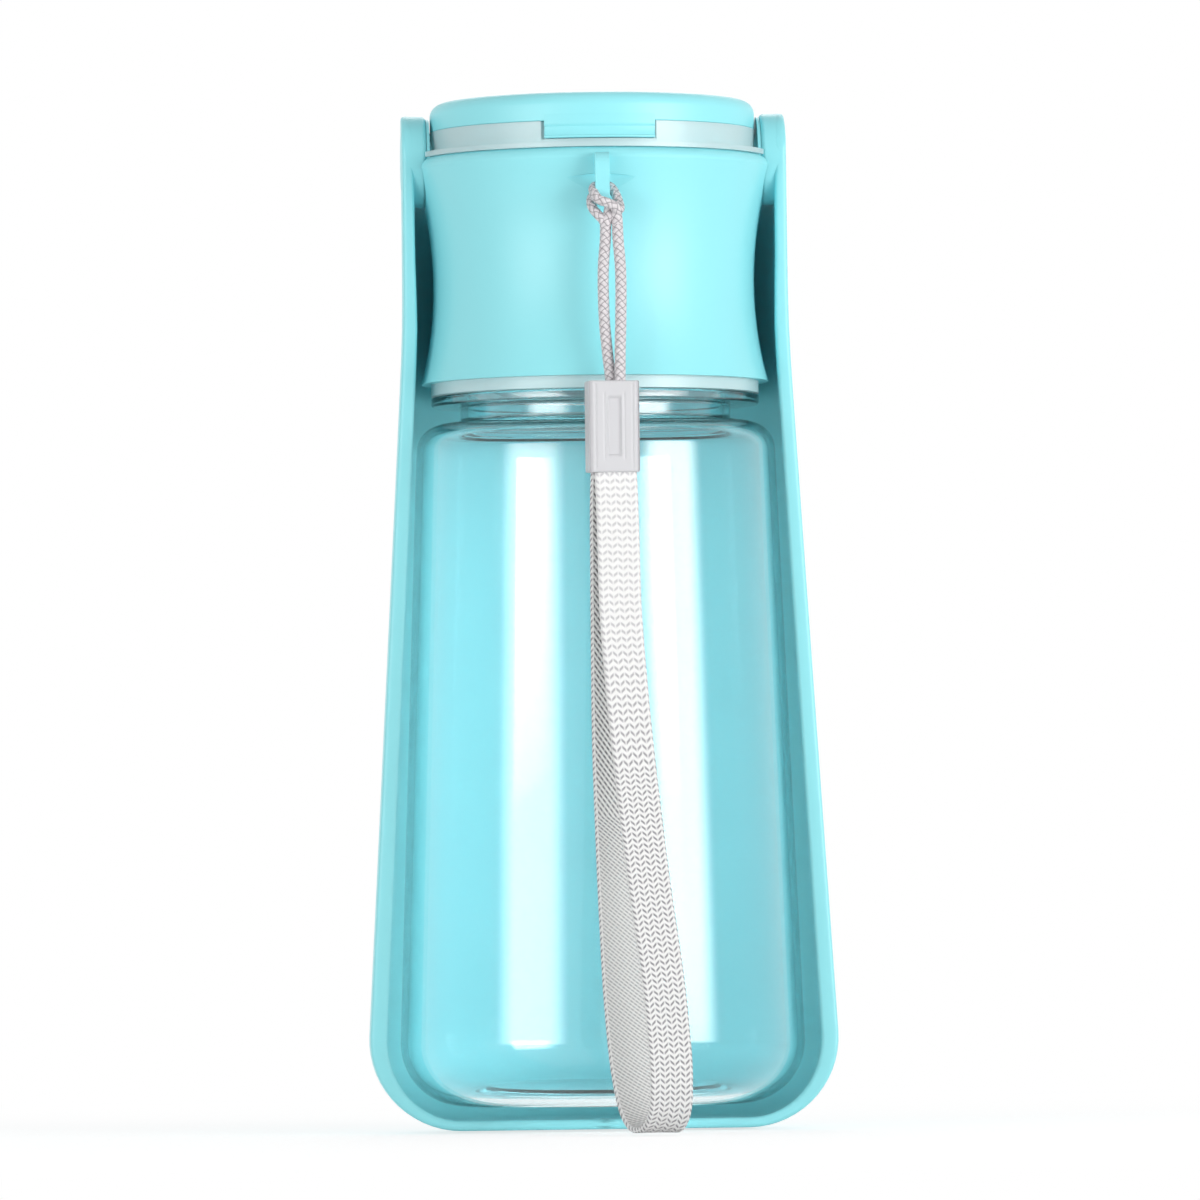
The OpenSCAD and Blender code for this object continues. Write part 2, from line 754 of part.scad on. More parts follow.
// Carry a closed section, counter-clockwise, along a route; w is the section's first axis
module carried(route, section, w) {
    n = len(section);
    pts = [for (i = [0:len(route) - 1])
        let (t = i == 0 || i == len(route) - 1 ? [0, 0, sign(heading(route, i)[2])] : heading(route, i))
        let (u = across(t, w))
        let (v = cross(t, u))
        for (s = section) route[i] + s[0] * u + s[1] * v];
    last = n * (len(route) - 1);
    sides = [for (i = [0:len(route) - 2]) for (j = [0:n - 1])
        let (a = n * i + j, b = n * i + (j + 1) % n)
        for (f = [[a, a + n, b], [b, a + n, b + n]]) f];
    first_end = [for (j = [1:n - 2]) [0, j, j + 1]];
    last_end = [for (j = [1:n - 2]) [last, last + j + 1, last + j]];
    polyhedron(points = pts, faces = concat(sides, first_end, last_end));
}

module cord_left() {
    color(light_grey)
        carried(cord_left_route, arc(0, 0, cord_d / 2, 0, 315, 7), [1, 0, 0]);
}

module cord_right() {
    color(light_grey)
        carried(cord_right_route, arc(0, 0, cord_d / 2, 0, 315, 7), [1, 0, 0]);
}

module strap_webbing() {
    w = webbing_w / 2;
    t = webbing_t / 2;
    flat = [[w, -t / 2], [w, t / 2], [w - t, t], [t - w, t],
        [-w, t / 2], [-w, -t / 2], [t - w, -t], [w - t, -t]];
    color(light_grey)
        carried(webbing_route, flat, [cos(5), sin(5), 0]);
}

// The hitch of cord round the eyelet's lower bar, and its knot, from which the strap swings
module cord_hitch() {
    ring_r = 3.2;
    knot_r = 1.9;
    knot_z = eyelet_foot_z - 2 * slip_gap - knot_r;
    color(light_grey) {
        translate([0, eyelet_y - eyelet_gap_d / 2, eyelet_foot_z + eyelet_bar / 2])
            rotate([90, 0, 0])
                rotate_extrude()
                    translate([ring_r, 0])
                        circle(r = cord_d / 2 - run_gap, $fn = 24);
        bar_x(knot_r, -2.4, 3.9, eyelet_y - eyelet_gap_d - 0.9, knot_z);
    }
}

// One half of the clip, from its joint face to its outer face
module clip_half() {
    difference() {
        translate([-clip_w / 2, 0, clip_foot_z])
            cube([clip_w, clip_t / 2, clip_h]);
        translate([clip_wall - clip_w / 2, -tiny, clip_foot_z + clip_wall])
            cube([clip_w - 2 * clip_wall, clip_hollow_t, clip_h - 2 * clip_wall]);
    }
}

module clip_back() {
    color(light_grey)
        translate([strap_x, clip_y, 0])
            rotate(clip_turn)
                clip_half();
}

module clip_front() {
    color(light_grey)
        translate([strap_x, clip_y, 0])
            rotate(clip_turn)
                difference() {
                    mirror([0, 1, 0])
                        clip_half();
                    translate([-clip_recess_w / 2, -clip_t / 2 - 1, clip_recess_z])
                        cube([clip_recess_w, 1 + clip_recess_t, clip_recess_h]);
                }
}

trough();
pivot_pin_left();
pivot_pin_right();
friction_washer_left();
friction_washer_right();
collar();
mouth_ring();
neck_insert();
tube_seal();
neck_seal();
bottle();
lid();
lid_seal();
lid_hinge_pin();
clip_front();
clip_back();
cord_hitch();
cord_left();
cord_right();
strap_webbing();
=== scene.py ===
"""Dog travel water bottle: fine shapes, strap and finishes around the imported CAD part.

Lengths in the shape functions are millimetres, as in the part's source, and become metres
when a mesh is made. Every shape is a surface over a grid of two parameters, worked out as
whole arrays.
"""
import math

import bmesh
import bpy
import numpy as np
from mathutils import Euler, Matrix, Vector


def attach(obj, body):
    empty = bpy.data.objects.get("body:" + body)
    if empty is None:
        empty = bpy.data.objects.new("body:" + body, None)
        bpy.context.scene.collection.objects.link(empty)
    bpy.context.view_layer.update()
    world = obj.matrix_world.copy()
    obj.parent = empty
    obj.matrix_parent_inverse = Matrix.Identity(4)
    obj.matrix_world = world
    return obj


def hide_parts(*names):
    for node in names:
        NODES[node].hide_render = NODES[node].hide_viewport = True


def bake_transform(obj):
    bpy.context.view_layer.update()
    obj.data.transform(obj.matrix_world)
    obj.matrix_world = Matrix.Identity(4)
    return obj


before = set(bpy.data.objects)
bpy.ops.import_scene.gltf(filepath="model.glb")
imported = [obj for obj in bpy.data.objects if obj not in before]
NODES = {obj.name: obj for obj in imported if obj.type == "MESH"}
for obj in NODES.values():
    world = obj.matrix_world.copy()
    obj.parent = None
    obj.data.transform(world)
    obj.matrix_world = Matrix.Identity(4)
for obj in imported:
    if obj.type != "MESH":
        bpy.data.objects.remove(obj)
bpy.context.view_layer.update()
MM = 0.001
TURN = 2 * math.pi


def in_scene(name, data):
    """A new object with the given mesh, light or camera, at the origin."""
    thing = bpy.data.objects.new(name, data)
    bpy.context.scene.collection.objects.link(thing)
    return thing


# ---------------------------------------------------------------- camera

PHOTO_SPAN = 0.240            # metres across the photograph at the bottle's axis
CAMERA_DISTANCE = 2.0
CAMERA_TURN = math.radians(2.9)      # the camera stands this far to the left of the front
CAMERA_ROLL = math.radians(-0.69)
CAMERA_SIDE = 0.0005                 # metres by which it is moved sideways
EYE_HEIGHT = 0.0456
AIM_HEIGHT = 0.1056
SENSOR = 36.0


def add_camera():
    """The photograph's view: a long lens at the height of the bottle's lower third."""
    data = bpy.data.cameras.new("camera")
    data.sensor_width = SENSOR
    data.lens = SENSOR * CAMERA_DISTANCE / PHOTO_SPAN
    data.clip_end = 20
    camera = in_scene("camera", data)
    back = np.array([-math.sin(CAMERA_TURN), -math.cos(CAMERA_TURN)])
    place = back * CAMERA_DISTANCE + np.array([-back[1], back[0]]) * CAMERA_SIDE
    camera.location = (place[0], place[1], EYE_HEIGHT)
    rise = math.atan2(AIM_HEIGHT - EYE_HEIGHT, CAMERA_DISTANCE)
    aim = Euler((math.pi / 2 + rise, 0, -CAMERA_TURN)).to_matrix()
    camera.rotation_euler = (aim @ Matrix.Rotation(CAMERA_ROLL, 3, "Z")).to_euler()
    bpy.context.scene.camera = camera


add_camera()

# ---------------------------------------------------------------- sizes, as in the part's source

BOTTLE_Z, SHOULDER_Z, BEAD_Z, NECK_Z = 4.8, 141.0, 144.4, 146.4
INSERT_Z, SEAL_Z, PIVOT_Z, MOUTH_TOP, LID_TOP = 146.6, 152.4, 193.6, 199.3, 205.1
BASE_R, SHOULDER_R, BASE_CORNER, SHOULDER_CORNER, BOTTLE_WALL = 40.4, 35.9, 12.5, 5.6, 1.5
ARM_OUT, SIDE_SLOPE, BEND_Z, TROUGH_CORNER, TROUGH_WALL = 38.33, 0.0587, 160.0, 18.0, 2.0
EAR_R, RIM_Y, BACK_Z = 9.2, 9.0, 187.0
LID_R, LID_WALL, TAB_W, TAB_T, TAB_DROP = 32.5, 1.6, 22.0, 1.6, 3.4
HINGE_Y, HINGE_Z, BRIDGE_Y, BRIDGE_UP = 33.8, 198.5, 33.0, 1.15
CLIP_X, CLIP_Y, CLIP_FOOT, CLIP_TOP = 1.3, -40.0, 129.4, 147.4
CLIP_W, CLIP_T, CLIP_TURN = 10.1, 5.0, 8.0
WEBBING_W, WEBBING_T, CORD_D, HITCH_D = 8.4, 1.2, 2.2, 1.9
KICK_UP, BEAD_R, BORE_R = 1.4, 32.8, 25.5
THREAD_R, THREAD_RIDGE, THREAD_LEAD, THREAD_TURNS = 28.0, 1.2, 2.5, 1.1
THREAD_UP = 0.9 + 1.25        # from the insert's foot to the thread's start

# ---------------------------------------------------------------- meshes

SHARP_EDGE, SOFT_EDGE = 40, 80       # degrees between two faces that make their edge a sharp one
SAME_POINT, NO_LENGTH = 1e-6, 1e-7   # metres


def unit(v):
    """Each vector drawn to a length of 1."""
    return v / np.maximum(np.linalg.norm(v, axis=-1, keepdims=True), 1e-12)


def smooth(x, x0, x1):
    """Smooth step from 0 at x0 to 1 at x1: 3t^2 - 2t^3."""
    t = np.clip((x - x0) / (x1 - x0), 0, 1)
    return t * t * (3 - 2 * t)


def quads(nu, nv, wrap_u, wrap_v):
    """Corner numbers of the squares of a grid of nu by nv points, joined to itself where it wraps."""
    i = np.arange(nu if wrap_u else nu - 1)[:, None]
    j = np.arange(nv if wrap_v else nv - 1)[None, :]
    i1, j1 = (i + 1) % nu, (j + 1) % nv
    return np.stack([i * nv + j, i1 * nv + j, i1 * nv + j1, i * nv + j1], -1).reshape(-1, 4)


def volume(points, faces):
    """Signed volume inside a closed mesh of squares: the sum of its tetrahedra to the origin."""
    a, b, c, d = (points[faces[:, k]] for k in range(4))
    return np.einsum("ij,ij->", a, np.cross(b, c) + np.cross(c, d)) / 6


def piece(name, grids, body, slot, material, replaces=(), sharp=SHARP_EDGE, uvs=None, turn_out=True):
    """One object from grids of points in millimetres: each is (array, wrap_u, wrap_v). Squares that
    shrink to a point at a pole are merged, and each closed grid is turned so that it faces outwards.
    A piece given no body is joined to none."""
    points, faces, start = [], [], 0
    for grid, wrap_u, wrap_v in grids:
        p = grid.reshape(-1, 3)
        f = quads(grid.shape[0], grid.shape[1], wrap_u, wrap_v)
        if turn_out and volume(p, f) < 0:
            f = f[:, ::-1]
        points.append(p)
        faces.append(f + start)
        start += len(p)
    points = np.concatenate(points) * MM
    faces = np.concatenate(faces)
    mesh = bpy.data.meshes.new(name)
    mesh.from_pydata(points.tolist(), [], faces.tolist())
    if uvs is not None:
        layer = mesh.uv_layers.new(name="UVMap")
        corner = np.empty(len(mesh.loops), dtype=np.int32)
        mesh.loops.foreach_get("vertex_index", corner)
        layer.data.foreach_set("uv", uvs.reshape(-1, 2)[corner].astype(np.float32).ravel())
    shape = bmesh.new()
    shape.from_mesh(mesh)
    bmesh.ops.remove_doubles(shape, verts=shape.verts, dist=SAME_POINT)
    bmesh.ops.dissolve_degenerate(shape, edges=shape.edges, dist=NO_LENGTH)
    shape.to_mesh(mesh)
    shape.free()
    mesh.shade_smooth()
    mesh.set_sharp_from_angle(angle=math.radians(sharp))
    thing = in_scene(name, mesh)
    mesh.materials.append(material)
    if body:
        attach(thing, body)
    if replaces:
        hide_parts(*replaces)
    return thing


def even_normals(thing):
    """Normals weighted by face area, so that flat faces next to small roundings shade flat."""
    modifier = thing.modifiers.new("even normals", "WEIGHTED_NORMAL")
    modifier.keep_sharp = True
    return thing


def rounded(corners, radii, steps=6, closed=True):
    """A polygon with arcs for corners. An arc of radius r starts r / tan(half the corner's angle) from
    the corner, its centre is r / sin(half) along the bisector, and its points turn evenly from the one
    tangent point to the other."""
    p = np.array(corners, float)
    r = np.broadcast_to(np.array(radii, float), len(p)).copy()
    if not closed:
        r[[0, -1]] = 0
    a, b = unit(np.roll(p, 1, 0) - p), unit(np.roll(p, -1, 0) - p)
    half = np.arccos(np.clip((a * b).sum(1), -1, 1)) / 2
    half = np.clip(half, 1e-3, math.pi / 2 - 1e-3)
    centre = p + unit(a + b + 1e-9) * (r / np.sin(half))[:, None]
    start = p + a * (r / np.tan(half))[:, None] - centre
    end = p + b * (r / np.tan(half))[:, None] - centre
    t = np.linspace(0, 1, steps + 1)[None, :, None]
    angle = (math.pi - 2 * half)[:, None, None]
    spoke = np.sin((1 - t) * angle) * start[:, None] + np.sin(t * angle) * end[:, None]
    arc = centre[:, None] + spoke / np.sin(angle)
    arc = np.where((r > 0)[:, None, None], arc, p[:, None])
    line = arc.reshape(-1, 2)
    keep = np.linalg.norm(line - np.roll(line, 1, 0), axis=1) > 1e-6
    if not closed:
        keep[0] = True
    return line[keep]


def arc_line(cx, cz, r, a0, a1, n):
    """An arc round cx, cz from the angle a0 to a1, in degrees: (cx + r cos a, cz + r sin a)."""
    a = np.radians(np.linspace(a0, a1, n + 1))
    return np.stack([cx + r * np.cos(a), cz + r * np.sin(a)], -1)


def revolved_open(profile, n=256):
    """A profile of (radius, height) that starts and ends on the axis, turned round Z: each point is
    (r cos a, r sin a, z). Its ends close at two poles."""
    a = np.linspace(0, TURN, n, endpoint=False)[:, None]
    r, z = profile[None, :, 0], profile[None, :, 1]
    return np.stack([r * np.cos(a), r * np.sin(a), z + 0 * a], -1), True, False


def turned_about_x(profile, n, y, z, side=1):
    """A closed profile of (x, radius) turned round a line along X at y, z."""
    a = np.linspace(0, TURN, n, endpoint=False)[:, None]
    x, r = profile[None, :, 0] * side, profile[None, :, 1]
    return np.stack([x + 0 * a, y + r * np.cos(a), z + r * np.sin(a)], -1), True, True


def rounded_box(size, radius, steps=4, mid=2):
    """A block with rounded edges, as six grids: each point of a block is clamped to the inner block,
    and set a radius away from there in its own direction. Grid lines crowd where the edges turn."""
    size = np.array(size, float) / 2
    grids = []
    for axis in range(3):
        u, v = (axis + 1) % 3, (axis + 2) % 3
        edge = np.tan(np.linspace(0, math.pi / 4, steps + 1))
        lines = []
        for k in (u, v):
            inner = size[k] - radius
            flat = np.linspace(-inner, inner, mid + 2)[1:-1]
            lines.append(np.concatenate([-inner - radius * edge[::-1], flat, inner + radius * edge]))
        for sign in (-1, 1):
            p = np.zeros((len(lines[0]), len(lines[1]), 3))
            p[..., u], p[..., v] = lines[0][:, None], lines[1][None, :]
            p[..., axis] = sign * size[axis]
            core = np.clip(p, -(size - radius), size - radius)
            grids.append(core + radius * unit(p - core))
    return grids


def smooth_route(points, spacing=0.8):
    """A route through the given points: a Catmull-Rom curve, in which each stretch is a cubic whose
    slope at a point is half the step between its two neighbours, then spaced evenly by length."""
    p = np.array(points, float)
    q = np.vstack([2 * p[0] - p[1], p, 2 * p[-1] - p[-2]])
    t = np.linspace(0, 1, 24, endpoint=False)[None, :, None]
    a, b, c, d = (q[k:len(q) - 3 + k, None] for k in range(4))
    square, cube = 2 * a - 5 * b + 4 * c - d, 3 * b - a - 3 * c + d
    fine = 0.5 * (2 * b + (c - a) * t + square * t ** 2 + cube * t ** 3)
    fine = np.vstack([fine.reshape(-1, 3), p[-1:]])
    run = np.concatenate([[0], np.cumsum(np.linalg.norm(np.diff(fine, axis=0), axis=1))])
    even = np.linspace(0, run[-1], max(8, round(run[-1] / spacing)))
    return np.stack([np.interp(even, run, fine[:, k]) for k in range(3)], -1), even


def carried(route, section, first_axis):
    """A section of (a, b) carried along a route: the point is route + a u + b v, where u is the first
    axis made square to the heading and v is the cross product of heading and u."""
    heading = unit(np.gradient(route, axis=0))
    w = np.broadcast_to(np.array(first_axis, float), route.shape)
    u = unit(w - (w * heading).sum(-1, keepdims=True) * heading)
    v = np.cross(heading, u)
    return route[:, None] + section[None, :, :1] * u[:, None] + section[None, :, 1:] * v[:, None]


def capped(grid):
    """A tube's grid with its two ends drawn together to the middle of each end."""
    first, last = grid[:1].mean(1, keepdims=True), grid[-1:].mean(1, keepdims=True)
    return np.vstack([np.repeat(first, grid.shape[1], 1), grid, np.repeat(last, grid.shape[1], 1)])


# ---------------------------------------------------------------- finishes


CLEAR_WALLS = 6.5             # a ray that has passed more clear walls than this goes straight on
MOULD_SPARKLE = 2600.0        # grains of the mould's surface to a metre
WEAVE_PITCH, WEAVE_COLUMN, TWILL_PITCH = 1.45, 1.0, 0.8
FACE_U = 7.8                  # along the webbing's girth, where its inner face ends
TIGHTER_BELOW, TWILL_AND_SHADE_CHANGE = 60.0, 200.0    # along the webbing: the weaves change, and painted shade begins at the second
BRAID_YARNS, BRAID_RUN = 4.0, 0.72    # yarns once round the cord, and yarns to a millimetre along it


def new_material(name):
    """A new material, its tree and its Principled node."""
    material = bpy.data.materials.new(name)
    material.use_nodes = True
    tree = material.node_tree
    return material, tree, tree.nodes["Principled BSDF"]


def set_values(bsdf, **values):
    """Set inputs by name, with an underscore for each space."""
    for name, value in values.items():
        bsdf.inputs[name.replace("_", " ")].default_value = value


def put_on(material, *names):
    """Give solids of the part that are shown as they are their finish."""
    for name in names:
        mesh = NODES[name].data
        mesh.materials.clear()
        mesh.materials.append(material)


def node(tree, kind, **values):
    """A new node with its properties and inputs set by name."""
    n = tree.nodes.new(kind)
    for key, value in values.items():
        if key in n.bl_rna.properties:
            setattr(n, key, value)
        else:
            n.inputs[key.replace("_", " ")].default_value = value
    return n


def make_grain():
    """Shared effect: the fine sparkle of a spark-eroded mould and the slow unevenness of a moulding.
    Puts out a height for a bump, a roughness and a tint round 1."""
    group = bpy.data.node_groups.new("moulded grain", "ShaderNodeTree")
    face = group.interface
    for name, value in (("Grain Scale", MOULD_SPARKLE), ("Roughness", 0.4), ("Variation", 0.05)):
        face.new_socket(name, in_out="INPUT", socket_type="NodeSocketFloat").default_value = value
    face.new_socket("Color", in_out="INPUT", socket_type="NodeSocketColor")
    for name in ("Height", "Roughness Out"):
        face.new_socket(name, in_out="OUTPUT", socket_type="NodeSocketFloat")
    face.new_socket("Color Out", in_out="OUTPUT", socket_type="NodeSocketColor")
    enter, leave = group.nodes.new("NodeGroupInput"), group.nodes.new("NodeGroupOutput")
    place = group.nodes.new("ShaderNodeTexCoord")
    fine = node(group, "ShaderNodeTexNoise", Detail=3.0)
    slow = node(group, "ShaderNodeTexNoise", Scale=28.0, Detail=4.0)
    link = group.links.new
    link(place.outputs["Object"], fine.inputs["Vector"])
    link(place.outputs["Object"], slow.inputs["Vector"])
    link(enter.outputs["Grain Scale"], fine.inputs["Scale"])
    link(fine.outputs["Fac"], leave.inputs["Height"])
    centred = node(group, "ShaderNodeMath", operation="SUBTRACT")
    centred.inputs[1].default_value = 0.5
    link(slow.outputs["Fac"], centred.inputs[0])
    swing = node(group, "ShaderNodeMath", operation="MULTIPLY")
    link(centred.outputs[0], swing.inputs[0])
    link(enter.outputs["Variation"], swing.inputs[1])
    rough = node(group, "ShaderNodeMath", operation="ADD")
    link(enter.outputs["Roughness"], rough.inputs[0])
    link(swing.outputs[0], rough.inputs[1])
    link(rough.outputs[0], leave.inputs["Roughness Out"])
    tint = node(group, "ShaderNodeHueSaturation")
    lift = node(group, "ShaderNodeMath", operation="ADD")
    lift.inputs[1].default_value = 1.0
    link(swing.outputs[0], lift.inputs[0])
    link(lift.outputs[0], tint.inputs["Value"])
    link(enter.outputs["Color"], tint.inputs["Color"])
    link(tint.outputs["Color"], leave.inputs["Color Out"])
    return group


GRAIN = make_grain()


def moulded(name, colour, roughness, bump=0.04, variation=0.05, **values):
    """A moulded plastic or rubber: its colour, roughness and bump come through the shared grain."""
    material, tree, bsdf = new_material(name)
    grain = tree.nodes.new("ShaderNodeGroup")
    grain.node_tree = GRAIN
    grain.inputs["Grain Scale"].default_value = MOULD_SPARKLE
    grain.inputs["Roughness"].default_value = roughness
    grain.inputs["Variation"].default_value = variation
    grain.inputs["Color"].default_value = (*colour, 1)
    relief = node(tree, "ShaderNodeBump", Strength=bump, Distance=0.0002)
    tree.links.new(grain.outputs["Height"], relief.inputs["Height"])
    tree.links.new(relief.outputs["Normal"], bsdf.inputs["Normal"])
    tree.links.new(grain.outputs["Roughness Out"], bsdf.inputs["Roughness"])
    tree.links.new(grain.outputs["Color Out"], bsdf.inputs["Base Color"])
    set_values(bsdf, **values)
    return material, tree, bsdf


def let_light_in(tree, bsdf, opaque=0.24):
    """Shadow rays pass a clear piece, weakened only by its opaque share, as light really does. A ray
    that has already passed six clear walls goes straight on, so that it doesn't end as a dark line."""
    path = tree.nodes.new("ShaderNodeLightPath")
    alpha = node(tree, "ShaderNodeMapRange")
    alpha.inputs["To Min"].default_value = 1.0
    alpha.inputs["To Max"].default_value = opaque
    tree.links.new(path.outputs["Is Shadow Ray"], alpha.inputs["Value"])
    few = node(tree, "ShaderNodeMath", operation="LESS_THAN")
    few.inputs[1].default_value = CLEAR_WALLS
    tree.links.new(path.outputs["Transmission Depth"], few.inputs[0])
    both = node(tree, "ShaderNodeMath", operation="MULTIPLY")
    tree.links.new(alpha.outputs["Result"], both.inputs[0])
    tree.links.new(few.outputs[0], both.inputs[1])
    tree.links.new(both.outputs[0], bsdf.inputs["Alpha"])


AQUA = (0.30, 0.80, 0.86)
aqua, _, _ = moulded("aqua_plastic", AQUA, 0.38, bump=0.05, IOR=1.49)
frosted, tree, bsdf = moulded("frosted_plastic", (0.72, 0.92, 0.94), 0.34, bump=0.06, IOR=1.49,
                              Transmission_Weight=0.4)
let_light_in(tree, bsdf, 0.5)
clear, tree, bsdf = moulded("clear_plastic", (0.91, 0.985, 1.0), 0.02, bump=0.0, variation=0.01,
                            IOR=1.45, Transmission_Weight=1.0)
let_light_in(tree, bsdf)
silicone, _, _ = moulded("silicone", (0.40, 0.86, 0.91), 0.62, bump=0.03, IOR=1.41)
grey, _, _ = moulded("grey_plastic", (0.60, 0.60, 0.62), 0.45, bump=0.06, IOR=1.49)
steel, _, _ = moulded("steel", (0.62, 0.62, 0.64), 0.28, bump=0.02, Metallic=1.0)


def calculator(tree):
    """A short way to chain sums: calc("ADD", a, b) puts down a Math node and gives its output."""
    def calc(operation, a, b=None):
        n = node(tree, "ShaderNodeMath", operation=operation)
        for k, value in enumerate((a, b)):
            if isinstance(value, (int, float)):
                n.inputs[k].default_value = value
            elif value is not None:
                tree.links.new(value, n.inputs[k])
        return n.outputs[0]
    return calc


def stepper(tree):
    """step(value, low, high) puts down a smooth step from 0 at low to 1 at high."""
    def step(value, low, high):
        n = node(tree, "ShaderNodeMapRange", interpolation_type="SMOOTHSTEP")
        n.inputs["From Min"].default_value, n.inputs["From Max"].default_value = low, high
        tree.links.new(value, n.inputs["Value"])
        return n.outputs["Result"]
    return step


def surface_map(tree):
    """The piece's own UV map, as its two lengths."""
    uv = node(tree, "ShaderNodeUVMap", uv_map="UVMap")
    split = tree.nodes.new("ShaderNodeSeparateXYZ")
    tree.links.new(uv.outputs["UV"], split.inputs[0])
    return split.outputs["X"], split.outputs["Y"]


def colour_ramp(tree, value, stops):
    """A colour that follows the value through stops of (place, colour)."""
    ramp = tree.nodes.new("ShaderNodeValToRGB")
    marks = ramp.color_ramp.elements
    while len(marks) < len(stops):
        marks.new(0.5)
    for mark, (place, colour) in zip(marks, stops):
        mark.position, mark.color = place, (*colour, 1)
    tree.links.new(value, ramp.inputs["Fac"])
    return ramp.outputs["Color"]


def yarn_finish(tree, bsdf, height, colour, strength):
    """The soft dull look of yarn, with its weave's colour and its relief."""
    relief = node(tree, "ShaderNodeBump", Strength=strength, Distance=0.0003)
    tree.links.new(height, relief.inputs["Height"])
    tree.links.new(relief.outputs["Normal"], bsdf.inputs["Normal"])
    tree.links.new(colour, bsdf.inputs["Base Color"])
    set_values(bsdf, Roughness=0.8, Sheen_Weight=0.2, Sheen_Roughness=0.4)


def make_webbing():
    """Flat braid with two faces. The UV map holds millimetres, u round the band and v along it.
    Outer face, u above FACE_U: white stitches with grey furrows that run in a zigzag, closer together
    below. With tri the zigzag of u over two columns, a furrow's phase is v over the pitch, plus
    0.18 for each millimetre after TIGHTER_BELOW, less tri times a slant that grows from 0.5 to 0.8;
    its depth is a smooth step near the phase's ends times one that closes it a little where the slant
    turns. Inner face: fine furrows that run down at 45 degrees, broken into dashes by a second phase,
    wider where v is past 200 millimetres, and darker there with painted shade: the shadow of the front
    layer, which lies close in front of it."""
    material, tree, bsdf = new_material("webbing")
    calc = calculator(tree)
    step = stepper(tree)
    across, along = surface_map(tree)

    def zigzag(value):
        """1 at the whole numbers and 0 half way between them."""
        return calc("SUBTRACT", 1.0, calc("MULTIPLY", calc("PINGPONG", value, 0.5), 2.0))

    def beyond(start, slope):
        """Slope times the length by which v is past the start."""
        return calc("MULTIPLY", calc("MAXIMUM", calc("SUBTRACT", along, start), 0.0), slope)

    tri = zigzag(calc("DIVIDE", across, 2 * WEAVE_COLUMN))
    rows = calc("ADD", calc("DIVIDE", along, WEAVE_PITCH), beyond(TIGHTER_BELOW, 0.18))
    turned = calc("ABSOLUTE", calc("SUBTRACT", calc("MULTIPLY", tri, 2.0), 1.0))
    slanting = calc("SUBTRACT", 1.0, turned)
    lower = step(along, 15.0, 75.0)
    slant = calc("ADD", calc("MULTIPLY", lower, 0.3), 0.5)
    phase = calc("SUBTRACT", rows, calc("MULTIPLY", tri, slant))
    furrow = calc("MULTIPLY", step(zigzag(phase), 0.3, 0.95),
                  calc("ADD", calc("MULTIPLY", step(slanting, 0.05, 0.6), 0.8), 0.2))
    outer = calc("MULTIPLY", furrow, calc("ADD", calc("MULTIPLY", lower, 0.5), 0.5))
    down = calc("SUBTRACT", calc("DIVIDE", along, TWILL_PITCH), beyond(TWILL_AND_SHADE_CHANGE, 0.48))
    second = calc("SUBTRACT", calc("MULTIPLY", down, 0.5), calc("MULTIPLY", across, 0.9))
    dashes = step(zigzag(second), 0.1, 0.6)
    # painted shade: the inner face is drawn darker past about 200 mm along, where the front layer shades
    # it
    painted_shade_upper = step(along, TWILL_AND_SHADE_CHANGE - 20, TWILL_AND_SHADE_CHANGE + 15)
    inner = calc("MULTIPLY", step(zigzag(calc("ADD", down, calc("MULTIPLY", across, 1.1))), 0.25, 0.9),
                 calc("ADD", calc("MULTIPLY", dashes, 0.45), 0.55))
    inner = calc("MULTIPLY", inner, calc("ADD", calc("MULTIPLY", painted_shade_upper, 0.35), 0.65))
    face = calc("GREATER_THAN", across, FACE_U)
    dark = node(tree, "ShaderNodeMix", data_type="FLOAT")
    tree.links.new(face, dark.inputs["Factor"])
    tree.links.new(inner, dark.inputs[2])
    tree.links.new(outer, dark.inputs[3])
    outer_colour = colour_ramp(tree, outer, [(0.0, (0.86, 0.86, 0.85)), (0.5, (0.60, 0.59, 0.605)),
                                             (1.0, (0.30, 0.295, 0.31))])
    inner_colour = colour_ramp(tree, inner, [(0.0, (0.80, 0.80, 0.79)), (0.65, (0.44, 0.44, 0.45)),
                                             (1.0, (0.13, 0.13, 0.14))])
    colour = node(tree, "ShaderNodeMix", data_type="RGBA")
    tree.links.new(face, colour.inputs["Factor"])
    tree.links.new(inner_colour, colour.inputs[6])
    tree.links.new(outer_colour, colour.inputs[7])
    yarn_finish(tree, bsdf, calc("SUBTRACT", 1.0, dark.outputs[0]), colour.outputs[2], 0.7)
    return material


webbing_finish = make_webbing()


def make_braid():
    """Round braid: yarns cross in two screw directions. The UV map holds u once round the cord and v
    in millimetres along it; each phase is the turn plus or minus the run, and the yarn on top changes
    from one square of the braid to the next."""
    material, tree, bsdf = new_material("braided_cord")
    calc = calculator(tree)
    around, along = surface_map(tree)
    turn, run = calc("MULTIPLY", around, BRAID_YARNS), calc("MULTIPLY", along, BRAID_RUN)
    one, two = calc("ADD", turn, run), calc("SUBTRACT", turn, run)
    ridge_one = calc("MULTIPLY", calc("PINGPONG", one, 0.5), 2.0)
    ridge_two = calc("MULTIPLY", calc("PINGPONG", two, 0.5), 2.0)
    square = calc("FLOORED_MODULO", calc("ADD", calc("FLOOR", one), calc("FLOOR", two)), 2.0)
    height = calc("ADD", calc("MULTIPLY", ridge_one, square),
                  calc("MULTIPLY", ridge_two, calc("SUBTRACT", 1.0, square)))
    colour = colour_ramp(tree, height, [(0.0, (0.24, 0.225, 0.24)), (0.2, (0.50, 0.47, 0.49)),
                                        (0.42, (0.76, 0.72, 0.74)), (1.0, (0.82, 0.78, 0.80))])
    yarn_finish(tree, bsdf, height, colour, 0.9)
    return material


